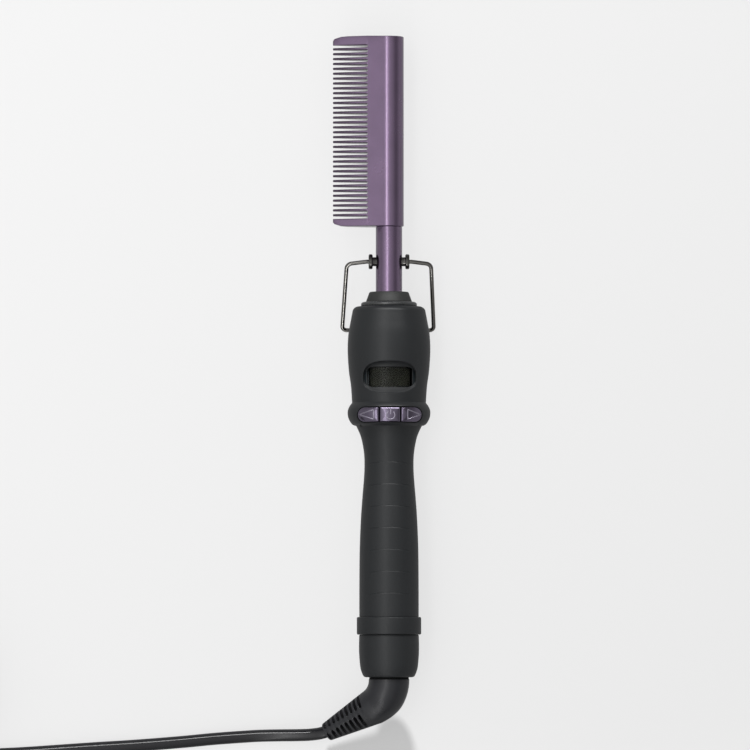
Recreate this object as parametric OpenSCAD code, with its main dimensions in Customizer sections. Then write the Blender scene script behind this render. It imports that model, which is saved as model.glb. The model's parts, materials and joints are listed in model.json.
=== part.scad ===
// Electric hot comb with a display, three buttons, a wire stand and a swivel cord.
// It lies on a table: +Z is up, the head points to +Y and the teeth point to -X.
// A station is a distance along the handle, from the bottom of the end cap towards the head.
// Heights named "up" are measured from the handle's axis.

/* [Head] */
// Length of the toothed head
head_len = 83.8; // [83:0.1:90]
// Radius of the round back of the head
spine_r = 6.5; // [6.3:0.1:7.5]
// Radius of the tooth tips, seen along the head
tip_r = 0.95; // [0.6:0.05:1.5]
// From the handle's axis to the tooth tips
tooth_reach = 24.7; // [20:0.1:30]
// From the handle's axis to the tooth roots
root_reach = 9.4; // [8:0.1:12]
// Number of gaps sawn between the teeth
gap_count = 36; // [10:1:36]
// From one tooth to the next
tooth_pitch = 2.155; // [1.8:0.005:2.155]
// Width of a gap
gap_w = 1.1; // [0.8:0.05:1.4]
// Thickness of the solid tooth at the handle end
end_tooth = 3.3; // [2.5:0.1:4]

/* [Neck and stand] */
// Radius of the neck tube
neck_r = 5.8; // [5.5:0.1:6.1]
// Station where the neck meets the head
head_from = 198.3; // [190:0.1:210]
// Station of the studs that carry the stand
stud_at = 182.8; // [178:0.1:188]
// Radius of the stand's wire
wire_r = 0.9; // [0.7:0.05:1]
// Half the width of the stand, to the middle of the wire
stand_half_w = 20.4; // [19:0.1:23]
// Station where the folded stand's crossbar rests
crossbar_at = 153.4; // [150:0.1:156]

/* [Handle] */
// Largest radius of the handle, at its belly and at the bead of the buttons
belly_r = 18.2; // [18.2:0.1:18.4]
// Wall of the two half shells
wall = 1.9; // [1.6:0.1:2.2]
// Station of the shoulder where the handle ends
shoulder_at = 163; // [162.5:0.1:163.5]
// Radius of the clamping ring near the tail
band_r = 14.15; // [13.8:0.05:15]

/* [Display and buttons] */
// Station of the middle of the display
display_at = 131.5; // [130:0.1:133]
// Width of the display's recess
recess_w = 23.3; // [21:0.1:25]
// Length of the display's recess
recess_len = 13.6; // [11:0.1:14]
// Station of the middle of the buttons
buttons_at = 115; // [114.5:0.1:115.5]
// Width over all three buttons
buttons_w = 28; // [26:0.1:28.4]
// Length of a button along the handle
button_len = 6.3; // [5:0.1:6.4]
// Travel of a button
button_travel = 0.6; // [0.3:0.05:0.7]

/* [Cord] */
// Diameter of the mains cord
cord_d = 5.4; // [5:0.1:6]
// How far the elbow is turned down about the handle's axis, in degrees
elbow_roll = 20; // [15:1:20]
// Bend of the elbow, in degrees
elbow_bend = 62.5; // [55:0.5:65]

/* [Hidden] */

COAT = [0.45, 0.39, 0.49];
SOFT_BLACK = [0.19, 0.2, 0.21];
GUNMETAL = [0.32, 0.32, 0.33];
STEEL = [0.75, 0.75, 0.76];
BRASS = [0.8, 0.66, 0.35];
PALE = [0.9, 0.9, 0.86];

big = 200;
fit = 0.05;
play = 0.3;

total_len = head_from + head_len;
axis_x = (tooth_reach - stand_half_w - wire_r) / 2;
axis_z = belly_r;
tail_y = -total_len / 2;

// ---- placing along the handle ----

module along(station) {
    translate([axis_x, tail_y + station, axis_z]) rotate([-90, 0, 0]) children();
}

module at(x, station, up) {
    translate([axis_x + x, tail_y + station, axis_z + up]) children();
}

// A turned piece: each point is [station, radius].
module lathe(line) {
    along(0) rotate_extrude($fn = 96) polygon([for (p = line) [p[1], p[0]]]);
}

module ring(from, to, outer, inner) {
    lathe([[from, inner], [from, outer], [to, outer], [to, inner]]);
}

module rod_z(x, station, from_up, to_up, r) {
    at(x, station, from_up) cylinder(h = to_up - from_up, r = r, $fn = 32);
}

module rod_y(x, from, to, up, r) {
    at(x, from, up) rotate([-90, 0, 0]) cylinder(h = to - from, r = r, $fn = 32);
}

module block(x0, x1, from, to, up0, up1) {
    at(x0, from, up0) cube([x1 - x0, to - from, up1 - up0]);
}

module both_sides() {
    children();
    translate([2 * axis_x, 0, 0]) mirror([1, 0, 0]) children();
}

// ---- curves ----

function blend4(a, b, c, d, u) = 0.5 * (2 * b + (c - a) * u + (2 * a - 5 * b + 4 * c - d) * u * u
    + (3 * b - a - 3 * c + d) * u * u * u);

// A smooth line through key points, with n steps between each two of them.
function smooth(keys, n) = concat([for (i = [0 : len(keys) - 2], j = [0 : n - 1])
    blend4(keys[max(i - 1, 0)], keys[i], keys[i + 1], keys[min(i + 2, len(keys) - 1)], j / n)],
    [keys[len(keys) - 1]]);

// A quarter round from the side of a turned piece to its end, as [station, radius].
function corner(station, radius, size, n = 6) =
    [for (i = [0 : n]) [station + size * sin(90 * i / n), radius + size * cos(90 * i / n)]];

function unit(v) = v / norm(v);

// ---- handle outline ----

cap_to = 18.6;
band_from = 18.75;
band_to = 26.45;
grip_from = 26.5;
bead_from = 110.6;
bead_to = 120.6;
shoulder_round = 2.6;

cap_keys = [[0, 10.2], [0.5, 11.2], [2.6, 12.15], [5.3, 12.75], [11.9, 13.2], [cap_to, 13.1]];
grip_keys = [[grip_from, 13.05], [38, 13.05], [56, 12.9], [69, 12.4], [78, 11.8], [87, 11.05],
    [92.5, 10.8], [98, 11.05], [103.4, 12], [107, 13.3], [bead_from, 15.2]];
bead_keys = [[bead_from, 15.2], [112.2, 16.8], [114, 17.9], [115.8, belly_r], [117.5, 18.05],
    [119.2, 17.3], [bead_to, 16.25]];
housing_keys = [[bead_to, 16.25], [128, 16.75], [135, 17.7], [143.9, belly_r], [151, 17.85],
    [156.2, 16.95], [shoulder_at - shoulder_round, 16.15]];
bead_line = smooth(bead_keys, 3);
handle_line = concat(smooth(grip_keys, 2), bead_line, smooth(housing_keys, 3),
    corner(shoulder_at - shoulder_round, 16.15 - shoulder_round, shoulder_round));

function grip_r(station) = lookup(station, grip_keys);

spigot_from = 19;
spigot_r = 12.4;
spigot_bore = 10.7;
rib_from = 158.2;
rib_to = 159.8;
rib_r = 8.7;
throat_r = 9.5;

shell_outline = concat([[spigot_from, 0], [spigot_from, spigot_r], [grip_from, spigot_r]],
    handle_line, [[shoulder_at, 0]]);
cavity_outline = concat(
    [[spigot_from - 1, 0], [spigot_from - 1, spigot_bore], [grip_from + 1, spigot_bore]],
    [for (p = handle_line) if (p[0] > grip_from + 1 && p[0] < rib_from) [p[0], p[1] - wall]],
    [[rib_from, rib_r], [rib_to, rib_r], [rib_to, throat_r],
    [shoulder_at + 1, throat_r], [shoulder_at + 1, 0]]);

// Grooves across the grip: arcs, because each is cut in a leaning plane.
groove_from = 36.8;
groove_pitch = 9.58;
groove_w = 0.5;
groove_deep = 0.3;
groove_half = 9.6;
groove_lean = 12.3;
stations_of_grooves = [for (i = [0 : 6]) groove_from + groove_pitch * i];

module groove(station) {
    difference() {
        at(0, station, grip_r(station)) rotate([-groove_lean, 0, 0])
            cube([2 * groove_half, groove_w, 16], center = true);
        along(station - 5) cylinder(h = 10, r = grip_r(station) - groove_deep, $fn = 96);
    }
}

// ---- screws that join the shells, as [x, station, height of the head's seat] ----

shell_screw_places = [[12, 142, -9.5], [-12, 142, -9.5], [0, 70.3, -7.5], [0, 31.6, -8.5]];
screw_r = 1.1;
screw_head_r = 2.4;
post_r = 3.2;
post_top = 5;

module shell_screw(place) {
    rod_z(place[0], place[1], place[2] - 1.7, place[2], screw_head_r);
    rod_z(place[0], place[1], place[2], post_top - 1, screw_r);
}

// ---- display ----

floor_r = 15.7;
lens_r = 15.3;
lens_half_w = 9.7;
lens_half_len = 4.35;
flange_half_w = 10.8;
flange_half_len = 5.7;
flange_r = 14.5;
lens_inner_r = 13.4;
view_half_w = 8.45;
view_half_len = 3.85;
glass_top = 9.5;
glass_bottom = 7.8;
board_top = 1;
board_bottom = -0.6;

module disc_z(x, station, r) {
    at(x, station, 0) cylinder(h = big, r = r, $fn = 96);
}

module display_recess() {
    rise = recess_len / 2 - lens_half_len;
    difference() {
        intersection() {
            disc_z(0, display_at, recess_w / 2);
            at(-15, display_at, floor_r) rotate([90, 0, 90]) linear_extrude(30)
                polygon([[-lens_half_len, -6], [lens_half_len, -6], [lens_half_len, 0],
                    [lens_half_len + 2 * rise, 3.4], [-lens_half_len - 2 * rise, 3.4],
                    [-lens_half_len, 0]]);
        }
        along(display_at - 10) cylinder(h = 20, r = floor_r, $fn = 96);
    }
    block(-lens_half_w - 0.1, lens_half_w + 0.1, display_at - lens_half_len - 0.1,
        display_at + lens_half_len + 0.1, 5, 20);
}

// ---- buttons ----

opening_play = 0.3;
split_w = 0.5;
power_half = 4.7;
stem_x = 8.2;
stem_r = 1.6;
guide_from = 7;
guide_to = 8.2;
switch_top = 4.6;
plunger_r = 1.75;
plunger_top = 5.6;

module stadium(w, len) {
    square([w - len, len], center = true);
    translate([(w - len) / 2, 0]) circle(d = len, $fn = 48);
    translate([(len - w) / 2, 0]) circle(d = len, $fn = 48);
}

module button_hole() {
    at(0, buttons_at, 4) linear_extrude(20) stadium(buttons_w + 2 * opening_play,
        button_len + 2 * opening_play);
}

// The bead's surface, raised a little, as a solid.
module button_skin() {
    lathe(concat([[bead_from, 0]], [for (p = bead_line) [p[0], p[1] + 0.1]], [[bead_to, 0]]));
}

module button(x0, x1, bottom, x_stem) {
    intersection() {
        button_skin();
        at(0, buttons_at, bottom) linear_extrude(20) intersection() {
            stadium(buttons_w, button_len);
            translate([x0, -button_len]) square([x1 - x0, 2 * button_len]);
        }
    }
    rod_z(x_stem, buttons_at, plunger_top + 0.9, bottom, stem_r);
    rod_z(x_stem, buttons_at, plunger_top, plunger_top + 0.9, stem_r + 0.7);
}

// ---- board ----

board_screw_places = [[0, 105.5], [9.3, 122], [-9.3, 122]];
board_post_r = 2;
board_screw_r = 0.85;

// ---- swivel ----

neck_of_elbow_r = 5.45;
bush_r = 7;
swivel_gap = 0.5;
rotor_from = 3.6;
rotor_to = 15;
rotor_r = 4;
slip_r = 4.8;
slip_stations = [8, 12];
slip_w = 2;

elbow_bend_r = 13.5;
elbow_straight = 0.4;
elbow_top_r = 8.95;
relief_r = 7.5;
relief_tip_r = 4.1;
relief_len = 24.4;
slot_pitch = 2.45;
slot_w = 1.15;
slot_count = 9;
bar_half = 1.8;

module swivel_frame() {
    translate([axis_x, tail_y, axis_z]) rotate([0, -elbow_roll, 0]) children();
}

elbow_steps = 12;
elbow_line = [for (i = [0 : elbow_steps]) let (a = elbow_bend * i / elbow_steps)
    [elbow_bend_r * (cos(a) - 1), -swivel_gap - elbow_straight - elbow_bend_r * sin(a), 0]];
elbow_radii = [for (i = [0 : elbow_steps]) let (u = i / elbow_steps)
    elbow_top_r - 0.05 + (relief_r + 0.2 - elbow_top_r) * u * u * (3 - 2 * u)];
elbow_end = elbow_line[elbow_steps];
elbow_way = [-sin(elbow_bend), -cos(elbow_bend), 0];

// ---- cord ----

cord_r = cord_d / 2;

// From inside the elbow's tip to the coil, lying on the table from the sixth point on.
run_route = [[-20.5, -162.5, 10.1], [-26.6, -165.3, 8], [-32, -166.3, 6.4], [-38.5, -166.6, 5],
    [-46.5, -166.7, 3.7], [-55, -166.9, 2.9], [-62, -167.3, 2.7], [-74.5, -168.2, 2.7],
    [-87, -169.4, 2.7], [-100, -170.5, 2.7], [-112.5, -171.4, 2.7], [-125.5, -172.2, 2.7],
    [-136, -172.9, 2.7], [-146, -173.6, 2.7], [-158, -174.4, 2.7], [-170, -175, 2.7],
    [-182, -175.3, 2.7], [-195, -175.4, 2.7]];
lead_route = [[-239.5, -150.8, 2.7], [-239.5, -143, 2.7], [-239.6, -134, 2.7],
    [-239.9, -125, 3], [-240.3, -115.5, 4.1], [-240.7, -106, 5.6], [-240.9, -98, 6.6],
    [-241, -90, 6.8]];

coil_centre = [-209.5, -150.8];
coil_inner = 24.6;
coil_layers = 6;

function heading(route, i) = unit(route[min(i + 1, len(route) - 1)] - route[max(i - 1, 0)]);

function ring_points(centre, d, r, n) = let (side = unit(cross(d, [0, 0, 1])), up = cross(side, d))
    [for (k = [0 : n - 1]) centre + r * (cos(360 * k / n) * side + sin(360 * k / n) * up)];

// A tube swept along a route, with its own radius at each point.
module tube(route, radii, n) {
    last = len(route) - 1;
    polyhedron(
        points = [for (i = [0 : last]) each ring_points(route[i], heading(route, i), radii[i], n)],
        faces = concat(
            [[for (k = [n - 1 : -1 : 0]) k], [for (k = [0 : n - 1]) last * n + k]],
            [for (i = [0 : last - 1], k = [0 : n - 1])
                [i * n + k, i * n + (k + 1) % n, (i + 1) * n + k]],
            [for (i = [0 : last - 1], k = [0 : n - 1])
                [i * n + (k + 1) % n, (i + 1) * n + (k + 1) % n, (i + 1) * n + k]]));
}

module cord_tube(route) {
    tube(route, [for (p = route) cord_r], 10);
}

// ---- bent wire ----

function turn_at(p, i) = let (a = unit(p[i] - p[i - 1]), b = unit(p[i + 1] - p[i]))
    atan2(a[0] * b[1] - a[1] * b[0], a * b);
function cut_at(p, bend, i) = i < 1 || i > len(p) - 2 ? 0 : bend[i] * abs(tan(turn_at(p, i) / 2));

lap = 0.05;

// A wire through points in the XY plane, with its own bend radius at each inner point.
// The bends are a hair thicker, so that each straight piece ends inside them.
module bent_wire(p, bend, r) {
    for (i = [0 : len(p) - 2]) {
        d = unit(p[i + 1] - p[i]);
        start = p[i] + d * cut_at(p, bend, i);
        stop = p[i + 1] - d * cut_at(p, bend, i + 1);
        before = i == 0 ? 0 : lap;
        after = i == len(p) - 2 ? 0 : lap;
        translate([start[0], start[1], 0]) rotate([0, 0, atan2(d[1], d[0])]) rotate([0, 90, 0])
            translate([0, 0, -before])
            cylinder(h = norm(stop - start) + before + after, r = r, $fn = 32);
    }
    for (i = [1 : len(p) - 2]) {
        d = unit(p[i] - p[i - 1]);
        turn = turn_at(p, i);
        way = sign(turn);
        centre = p[i] - d * cut_at(p, bend, i) + way * bend[i] * [-d[1], d[0]];
        from = atan2(d[1], d[0]) - way * 90 + min(turn, 0);
        translate([centre[0], centre[1], 0]) rotate([0, 0, from])
            rotate_extrude(angle = abs(turn), $fn = 96) translate([bend[i], 0])
            circle(r + 0.005, $fn = 32);
    }
}

stand_deep = axis_z - wire_r;
stand_back = stud_at - crossbar_at;
stand_len = norm([stand_deep, stand_back]);
stand_fold = atan2(stand_deep, stand_back);
tip_from = 5.3;
arm_from = 9.9;
elbow_x = 18.55;
elbow_drop = 2;
stand_points = [[-tip_from, 0], [-arm_from, 0], [-elbow_x, -elbow_drop],
    [-stand_half_w, -stand_len], [stand_half_w, -stand_len], [elbow_x, -elbow_drop],
    [arm_from, 0], [tip_from, 0]];
stand_bends = [0, 3, 2.6, 2.6, 2.6, 2.6, 3, 0];

// ---- head ----

head_to = total_len;
first_gap = head_from + end_tooth + gap_w / 2;
flat_up = spine_r - 0.17;
flat_to = root_reach + 0.6;
taper_len = tooth_reach - tip_r - flat_to;
lean = atan2(flat_up, taper_len) - asin(tip_r / norm([flat_up, taper_len]));
corner_w = 6;
corner_len = 1.8;
bore_r = 4.3;
socket_r = 5.35;
socket_to = 206;
bore_to = 276;

// A round back, flat cheeks as far as the tooth roots, and teeth that taper to their tips.
module head_section() {
    circle(spine_r, $fn = 96);
    translate([-tooth_reach + tip_r, 0]) circle(tip_r, $fn = 48);
    polygon([[0, flat_up], [-flat_to, flat_up],
        [-tooth_reach + tip_r - tip_r * sin(lean), tip_r * cos(lean)],
        [-tooth_reach + tip_r - tip_r * sin(lean), -tip_r * cos(lean)],
        [-flat_to, -flat_up], [0, -flat_up]]);
}

// The head seen from above: long, with its two toothed corners rounded.
module head_outline() {
    n = 10;
    polygon(concat([[spine_r + 1, 0], [spine_r + 1, head_len]],
        [for (i = [0 : n]) [-tooth_reach + corner_w - corner_w * sin(90 * i / n),
            head_len - corner_len + corner_len * cos(90 * i / n)]],
        [for (i = [0 : n]) [-tooth_reach + corner_w - corner_w * cos(90 * i / n),
            corner_len - corner_len * sin(90 * i / n)]]));
}

module tooth_gap(station) {
    at(0, station, -big / 2) linear_extrude(big) {
        translate([-tooth_reach - 5, -gap_w / 2])
            square([tooth_reach + 5 - root_reach - gap_w / 2, gap_w]);
        translate([-root_reach - gap_w / 2, 0]) circle(d = gap_w, $fn = 24);
    }
}

module comb_head() color(COAT) difference() {
    intersection() {
        along(head_from) linear_extrude(head_len) head_section();
        at(0, head_from, -10) linear_extrude(20) head_outline();
    }
    for (i = [0 : gap_count - 1]) tooth_gap(first_gap + tooth_pitch * i);
    along(head_from - 1) cylinder(h = socket_to - head_from + 1, r = socket_r, $fn = 64);
    along(socket_to - 1) cylinder(h = bore_to - socket_to + 1, r = bore_r, $fn = 64);
    rod_z(0, 202, -8, 0, 0.8 + fit);
}

heater_from = 207;
heater_to = 268;

module heater_core() color(PALE) block(-3, 3, heater_from, heater_to, -0.6, 0.6);

module heater_film() color([0.75, 0.5, 0.15]) difference() {
    block(-3.2, 3.2, heater_from - 0.5, heater_to + 1, -0.75, 0.75);
    block(-3.02, 3.02, heater_from - 1, heater_to + 2, -0.62, 0.62);
}

module heater_clamps() color(STEEL) difference() {
    along(heater_from) cylinder(h = heater_to - heater_from, r = bore_r - 0.1, $fn = 64);
    block(-6, 6, heater_from - 1, heater_to + 1, -0.8, 0.8);
}

module thermistor() color("saddlebrown") rod_y(0, 200.5, 205.5, 1.6, 0.9);

module thermal_fuse() color(STEEL) rod_y(0, 152, 164, 2.2, 1.6);

module heater_leads() color("white") {
    for (x = [-1.7, -0.58, 0.58, 1.7]) rod_y(x, 134.5, 206, board_bottom - 0.56, 0.5);
}

module head_pin() color(GUNMETAL) rod_z(0, 202, -6.2, -4.6, 0.8);

neck_from = 146;

module neck_tube() color(COAT) difference() {
    lathe([[neck_from, 4.9], [neck_from, neck_r], [head_from - 0.1, neck_r],
        [head_from - 0.1, socket_r - fit], [socket_to - 0.2, socket_r - fit],
        [socket_to - 0.2, 4.5], [head_from - 2, 4.5], [head_from - 3, 4.9]]);
    at(-10, stud_at, 0) rotate([0, 90, 0]) cylinder(h = 20, r = 2.03, $fn = 48);
    rod_z(0, 202, -8, 0, 0.8 + fit);
}

stud_bore = wire_r + 0.07;

module stand_studs() color(GUNMETAL) both_sides() at(0, stud_at, 0) rotate([0, 90, 0])
    rotate_extrude($fn = 64) polygon([[0, 3.5], [2.4, 3.5], [2.4, 4.2], [2, 4.2], [2, 7.2],
        [2.9, 7.2], [3.3, 7.5], [3.3, 8.6], [2.9, 8.95], [stud_bore, 8.95], [stud_bore, 5],
        [0, 5]]);

module stand_wire() color(GUNMETAL)
    at(0, stud_at, 0) rotate([stand_fold, 0, 0]) bent_wire(stand_points, stand_bends, wire_r);

module heat_collar() color([0.24, 0.25, 0.24]) lathe([[152, neck_r + fit], [152, 9.4],
    [rib_from - 0.1, 9.4], [rib_from - 0.1, 8.6], [rib_to + 0.1, 8.6], [rib_to + 0.1, 9.4],
    [165, 9.4], [165, 10.2], [169, 8.75], [169.4, 8.4], [169.4, neck_r + fit]]);

module collar_ring() color(SOFT_BLACK) lathe([[163.1, 9.5], [163.1, 12], [163.4, 12.3],
    [164.3, 12.3], [164.8, 11.8], [164.95, 11.4], [164.95, 9.5]]);

clamp_at = 148.8;

module neck_clamp() color(STEEL) difference() {
    union() {
        ring(clamp_at - 1.8, clamp_at + 1.8, 8.2, neck_r);
        block(-10.5, 10.5, clamp_at - 2.6, clamp_at + 2.6, -8.4, -7.2);
    }
    along(neck_from) cylinder(h = 10, r = neck_r + 0.02, $fn = 64);
    for (x = [-8, 8]) rod_z(x, clamp_at, -10, -5, 1.2);
}

module clamp_screws() color(STEEL) for (x = [-8, 8]) {
    rod_z(x, clamp_at, -7.2, -5.9, 1.8);
    rod_z(x, clamp_at, -12.5, -7.2, 1);
}

// ---- half shells ----

module front_shell() color(SOFT_BLACK) difference() {
    intersection() {
        lathe(shell_outline);
        union() {
            difference() {
                block(-30, 30, 0, shoulder_at + 1, 0, 30);
                lathe(cavity_outline);
            }
            for (p = shell_screw_places) rod_z(p[0], p[1], 0.2, 20, post_r);
            for (p = board_screw_places) rod_z(p[0], p[1], board_top, 20, board_post_r);
            for (y = [buttons_at - 6, buttons_at + 4.6])
                block(-6.5, 6.5, y, y + 1.4, guide_to + 0.02, 20);
            difference() {
                block(-13, 13, display_at - 7, display_at + 7, 5, 20);
                along(display_at - 8) cylinder(h = 16, r = flange_r + 0.1, $fn = 96);
            }
        }
    }
    for (p = shell_screw_places) rod_z(p[0], p[1], -1, post_top, screw_r + 0.02);
    for (p = board_screw_places) rod_z(p[0], p[1], 0, 6, board_screw_r + 0.02);
    display_recess();
    button_hole();
    for (s = stations_of_grooves) groove(s);
}

module back_shell() color(SOFT_BLACK) difference() {
    intersection() {
        lathe(shell_outline);
        union() {
            difference() {
                block(-30, 30, 0, shoulder_at + 1, -30, 0);
                lathe(cavity_outline);
            }
            for (p = shell_screw_places) rod_z(p[0], p[1], -20, -0.2, post_r);
            for (x = [-8, 8]) rod_z(x, clamp_at, -20, -8.4, 2.3);
            block(-9, 9, crossbar_at - 3, crossbar_at + 3, -20, -13.8);
        }
    }
    for (p = shell_screw_places) {
        rod_z(p[0], p[1], -20, 1, screw_r + 0.2);
        rod_z(p[0], p[1], -25, p[2], screw_head_r + 0.2);
    }
    for (x = [-8, 8]) rod_z(x, clamp_at, -13, 0, 1.02);
    at(-30, crossbar_at, -stand_deep) rotate([0, 90, 0])
        cylinder(h = 60, r = wire_r + play, $fn = 48);
    block(-30, 30, crossbar_at - wire_r - play, crossbar_at + wire_r + play, -30, -stand_deep);
    translate([0, 0, 2 * axis_z]) mirror([0, 0, 1]) for (s = stations_of_grooves) groove(s);
}

module shell_screws() color(STEEL) for (p = shell_screw_places) shell_screw(p);

// ---- display ----

module display_lens() color([0.1, 0.11, 0.1, 0.6]) intersection() {
    difference() {
        union() {
            intersection() {
                along(display_at - 8) cylinder(h = 16, r = lens_r, $fn = 96);
                block(-lens_half_w, lens_half_w, display_at - lens_half_len,
                    display_at + lens_half_len, 5, 20);
            }
            intersection() {
                along(display_at - 8) cylinder(h = 16, r = flange_r, $fn = 96);
                block(-flange_half_w, flange_half_w, display_at - flange_half_len,
                    display_at + flange_half_len, 5, 20);
            }
        }
        along(display_at - 9) cylinder(h = 18, r = lens_inner_r, $fn = 96);
    }
    block(-20, 20, display_at - 10, display_at + 10, 5, 20);
}

module display_frame() color([0.05, 0.05, 0.05]) difference() {
    intersection() {
        along(display_at - 8) cylinder(h = 16, r = lens_inner_r - 0.1, $fn = 96);
        block(-9.3, 9.3, display_at - 5.5, display_at + 5.5, glass_top + 0.05, 14);
    }
    block(-view_half_w, view_half_w, display_at - view_half_len, display_at + view_half_len,
        5, 20);
}

module display_glass() color([0.2, 0.21, 0.17])
    block(-9.3, 9.3, display_at - 5.5, display_at + 5.5, glass_bottom, glass_top);

module display_backlight() color(PALE)
    block(-9.3, 9.3, display_at - 5.3, display_at + 5.3, board_top + 0.05, glass_bottom - 0.05);

// ---- board ----

module circuit_board() color("darkgreen") difference() {
    union() {
        block(-8.5, 8.5, 103, 112, board_bottom, board_top - 0.02);
        block(-11.5, 11.5, 111, 138.2, board_bottom, board_top - 0.02);
    }
    for (p = board_screw_places) rod_z(p[0], p[1], -3, 3, board_screw_r + 0.15);
}

module board_screws() color(STEEL) for (p = board_screw_places) {
    rod_z(p[0], p[1], board_bottom - 1.3, board_bottom, 1.7);
    rod_z(p[0], p[1], board_bottom, 5.5, board_screw_r);
}

module controller_chip() color([0.1, 0.1, 0.1]) block(5, 10, 125.5, 132.5, board_bottom - 1.3, board_bottom);

module triac() color([0.12, 0.12, 0.12]) {
    block(-6, 4, 123, 131.5, board_bottom - 4.4, board_bottom);
    block(-6, 4, 121.6, 123, board_bottom - 4.4, board_bottom - 3.1);
}

module film_capacitor() color([0.15, 0.3, 0.6]) block(-9, -1, 108.5, 120, board_bottom - 7, board_bottom);

module bulk_capacitor() color([0.1, 0.1, 0.12]) rod_y(4.6, 109, 119.5, board_bottom - 3.65, 3.6);

switch_xs = [-stem_x, 0, stem_x];

module tact_switches() color([0.12, 0.12, 0.13]) for (x = switch_xs) difference() {
    block(x - 3, x + 3, buttons_at - 3, buttons_at + 3, board_top, switch_top);
    rod_z(x, buttons_at, switch_top - 2.6, switch_top + 1, plunger_r + 0.05);
}

module button_guide() color([0.1, 0.1, 0.1]) difference() {
    union() {
        block(-11, 11, buttons_at - 3.6, buttons_at + 3.9, guide_from + 0.1, guide_to);
        block(-6.5, 6.5, buttons_at - 6.2, buttons_at + 6.2, guide_from + 0.1, guide_to);
    }
    for (x = switch_xs) rod_z(x, buttons_at, 5, 10, stem_r + 0.1);
}

module button_down() color(COAT)
    button(-buttons_w, -power_half - split_w / 2, 9.4, -stem_x);

module button_power() color(COAT)
    button(-power_half + split_w / 2, power_half - split_w / 2, 12.6, 0);

module button_up() color(COAT) button(power_half + split_w / 2, buttons_w, 9.4, stem_x);

module plunger(x) color([0.85, 0.85, 0.8])
    rod_z(x, buttons_at, switch_top - 1.8, plunger_top, plunger_r);

module plunger_down() plunger(-stem_x);

module plunger_power() plunger(0);

module plunger_up() plunger(stem_x);

module mains_leads() color("white") for (x = [-5, 5]) rod_y(x, 15.6, 107.5, -1.5, 0.75);

// ---- tail ----

module end_band() color(SOFT_BLACK) lathe(concat([[band_from, spigot_r + fit]],
    [for (i = [0 : 5]) [band_from + 1 - cos(18 * i), band_r - 1 + sin(18 * i)]],
    [for (i = [0 : 5]) [band_to - 1 + sin(18 * i), band_r - 1 + cos(18 * i)]],
    [[band_to, spigot_r + fit]]));

module end_cap() color(SOFT_BLACK) lathe(concat([[0, bush_r]], smooth(cap_keys, 3),
    [[cap_to, spigot_bore - 0.1], [25, spigot_bore - 0.1], [25, 9.4], [3, 9.4], [3, bush_r]]));

module swivel_bush() color(PALE) lathe([[0, neck_of_elbow_r + fit], [0, bush_r], [3, bush_r],
    [3, 8.4], [3.5, 8.4], [3.5, neck_of_elbow_r + fit]]);

module brush_holder() color([0.6, 0.55, 0.45]) difference() {
    ring(6.2, 15.4, 9.3, 6.2);
    for (i = [0, 1]) brush(i, 0.05);
}

module brush(i, extra) {
    side = i == 0 ? 1 : -1;
    station = slip_stations[i] + slip_w / 2;
    reach = slip_r + 0.1;
    at(side * (reach + 2), station, 0)
        cube([4, 1.4 + 2 * extra, 1.4 + 2 * extra], center = true);
}

module contact_brushes() color(BRASS) for (i = [0, 1]) brush(i, 0);

module swivel_rotor() color(PALE) difference() {
    lathe([[rotor_from, 0], [rotor_from, 7.4], [rotor_from + 1.3, 7.4], [rotor_from + 1.3, rotor_r],
        [rotor_to, rotor_r], [rotor_to, 0]]);
    along(rotor_from - 1) cylinder(h = 9, r = 1.5, $fn = 32);
}

module slip_rings() color(BRASS) for (s = slip_stations) ring(s, s + slip_w, slip_r, rotor_r);

function relief_side(s) = relief_r + (relief_tip_r - relief_r) * s / relief_len;

// The ribbed relief: a cone with slots round it, and a plain bar kept on both broad sides.
module relief() {
    first = relief_len - 1.5 - slot_pitch * (slot_count - 1) - slot_w / 2;
    difference() {
        cylinder(h = relief_len, r1 = relief_r, r2 = relief_tip_r, $fn = 64);
        for (i = [0 : slot_count - 1]) {
            a = first + slot_pitch * i;
            difference() {
                translate([0, 0, a]) rotate_extrude($fn = 64)
                    translate([0.62 * relief_side(a), 0]) square([10, slot_w]);
                translate([-bar_half, -20, a - 1]) cube([2 * bar_half, 40, slot_w + 2]);
                if (i == 0) translate([-20, -20, a - 1]) cube([20, 40, slot_w + 2]);
            }
        }
    }
}

module cord_elbow() color([0.18, 0.18, 0.19]) swivel_frame() {
    translate([0, -swivel_gap, 0]) rotate([-90, 0, 0])
        cylinder(h = rotor_from + swivel_gap, r = neck_of_elbow_r, $fn = 64);
    translate([0, -swivel_gap - elbow_straight - 0.2, 0]) rotate([-90, 0, 0])
        cylinder(h = elbow_straight + 0.2, r = elbow_top_r, $fn = 64);
    tube(elbow_line, elbow_radii, 24);
    translate(elbow_end - 0.15 * elbow_way) rotate([0, 0, 90 - elbow_bend])
        rotate([0, -90, 0]) rotate([0, 0, 90]) relief();
}

module cord_run() color([0.08, 0.08, 0.09]) cord_tube(run_route);

module cord_lead() color([0.08, 0.08, 0.09]) cord_tube(lead_route);

module cord_coil() color([0.08, 0.08, 0.09]) translate([coil_centre[0], coil_centre[1], 0]) {
    inner = coil_inner - cord_r;
    outer = coil_inner + cord_d + cord_r;
    top = coil_layers * cord_d;
    rotate_extrude($fn = 96) polygon([[inner + 1, 0], [outer - 1, 0], [outer, 1], [outer, top - 1],
        [outer - 1, top], [inner + 1, top], [inner, top - 1], [inner, 1]]);
}

module cord_tie() color([0.12, 0.12, 0.12])
    translate([coil_centre[0] - 5, coil_centre[1] + coil_inner - cord_r - 0.7, 0]) difference() {
        cube([10, 2 * cord_d + 1.4, coil_layers * cord_d + 0.7]);
        translate([-1, 0.7, 0.5]) cube([12, 2 * cord_d, coil_layers * cord_d - 0.5]);
    }

plug_x = -241;
plug_from = -92;
plug_up = 6.8;

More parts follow.
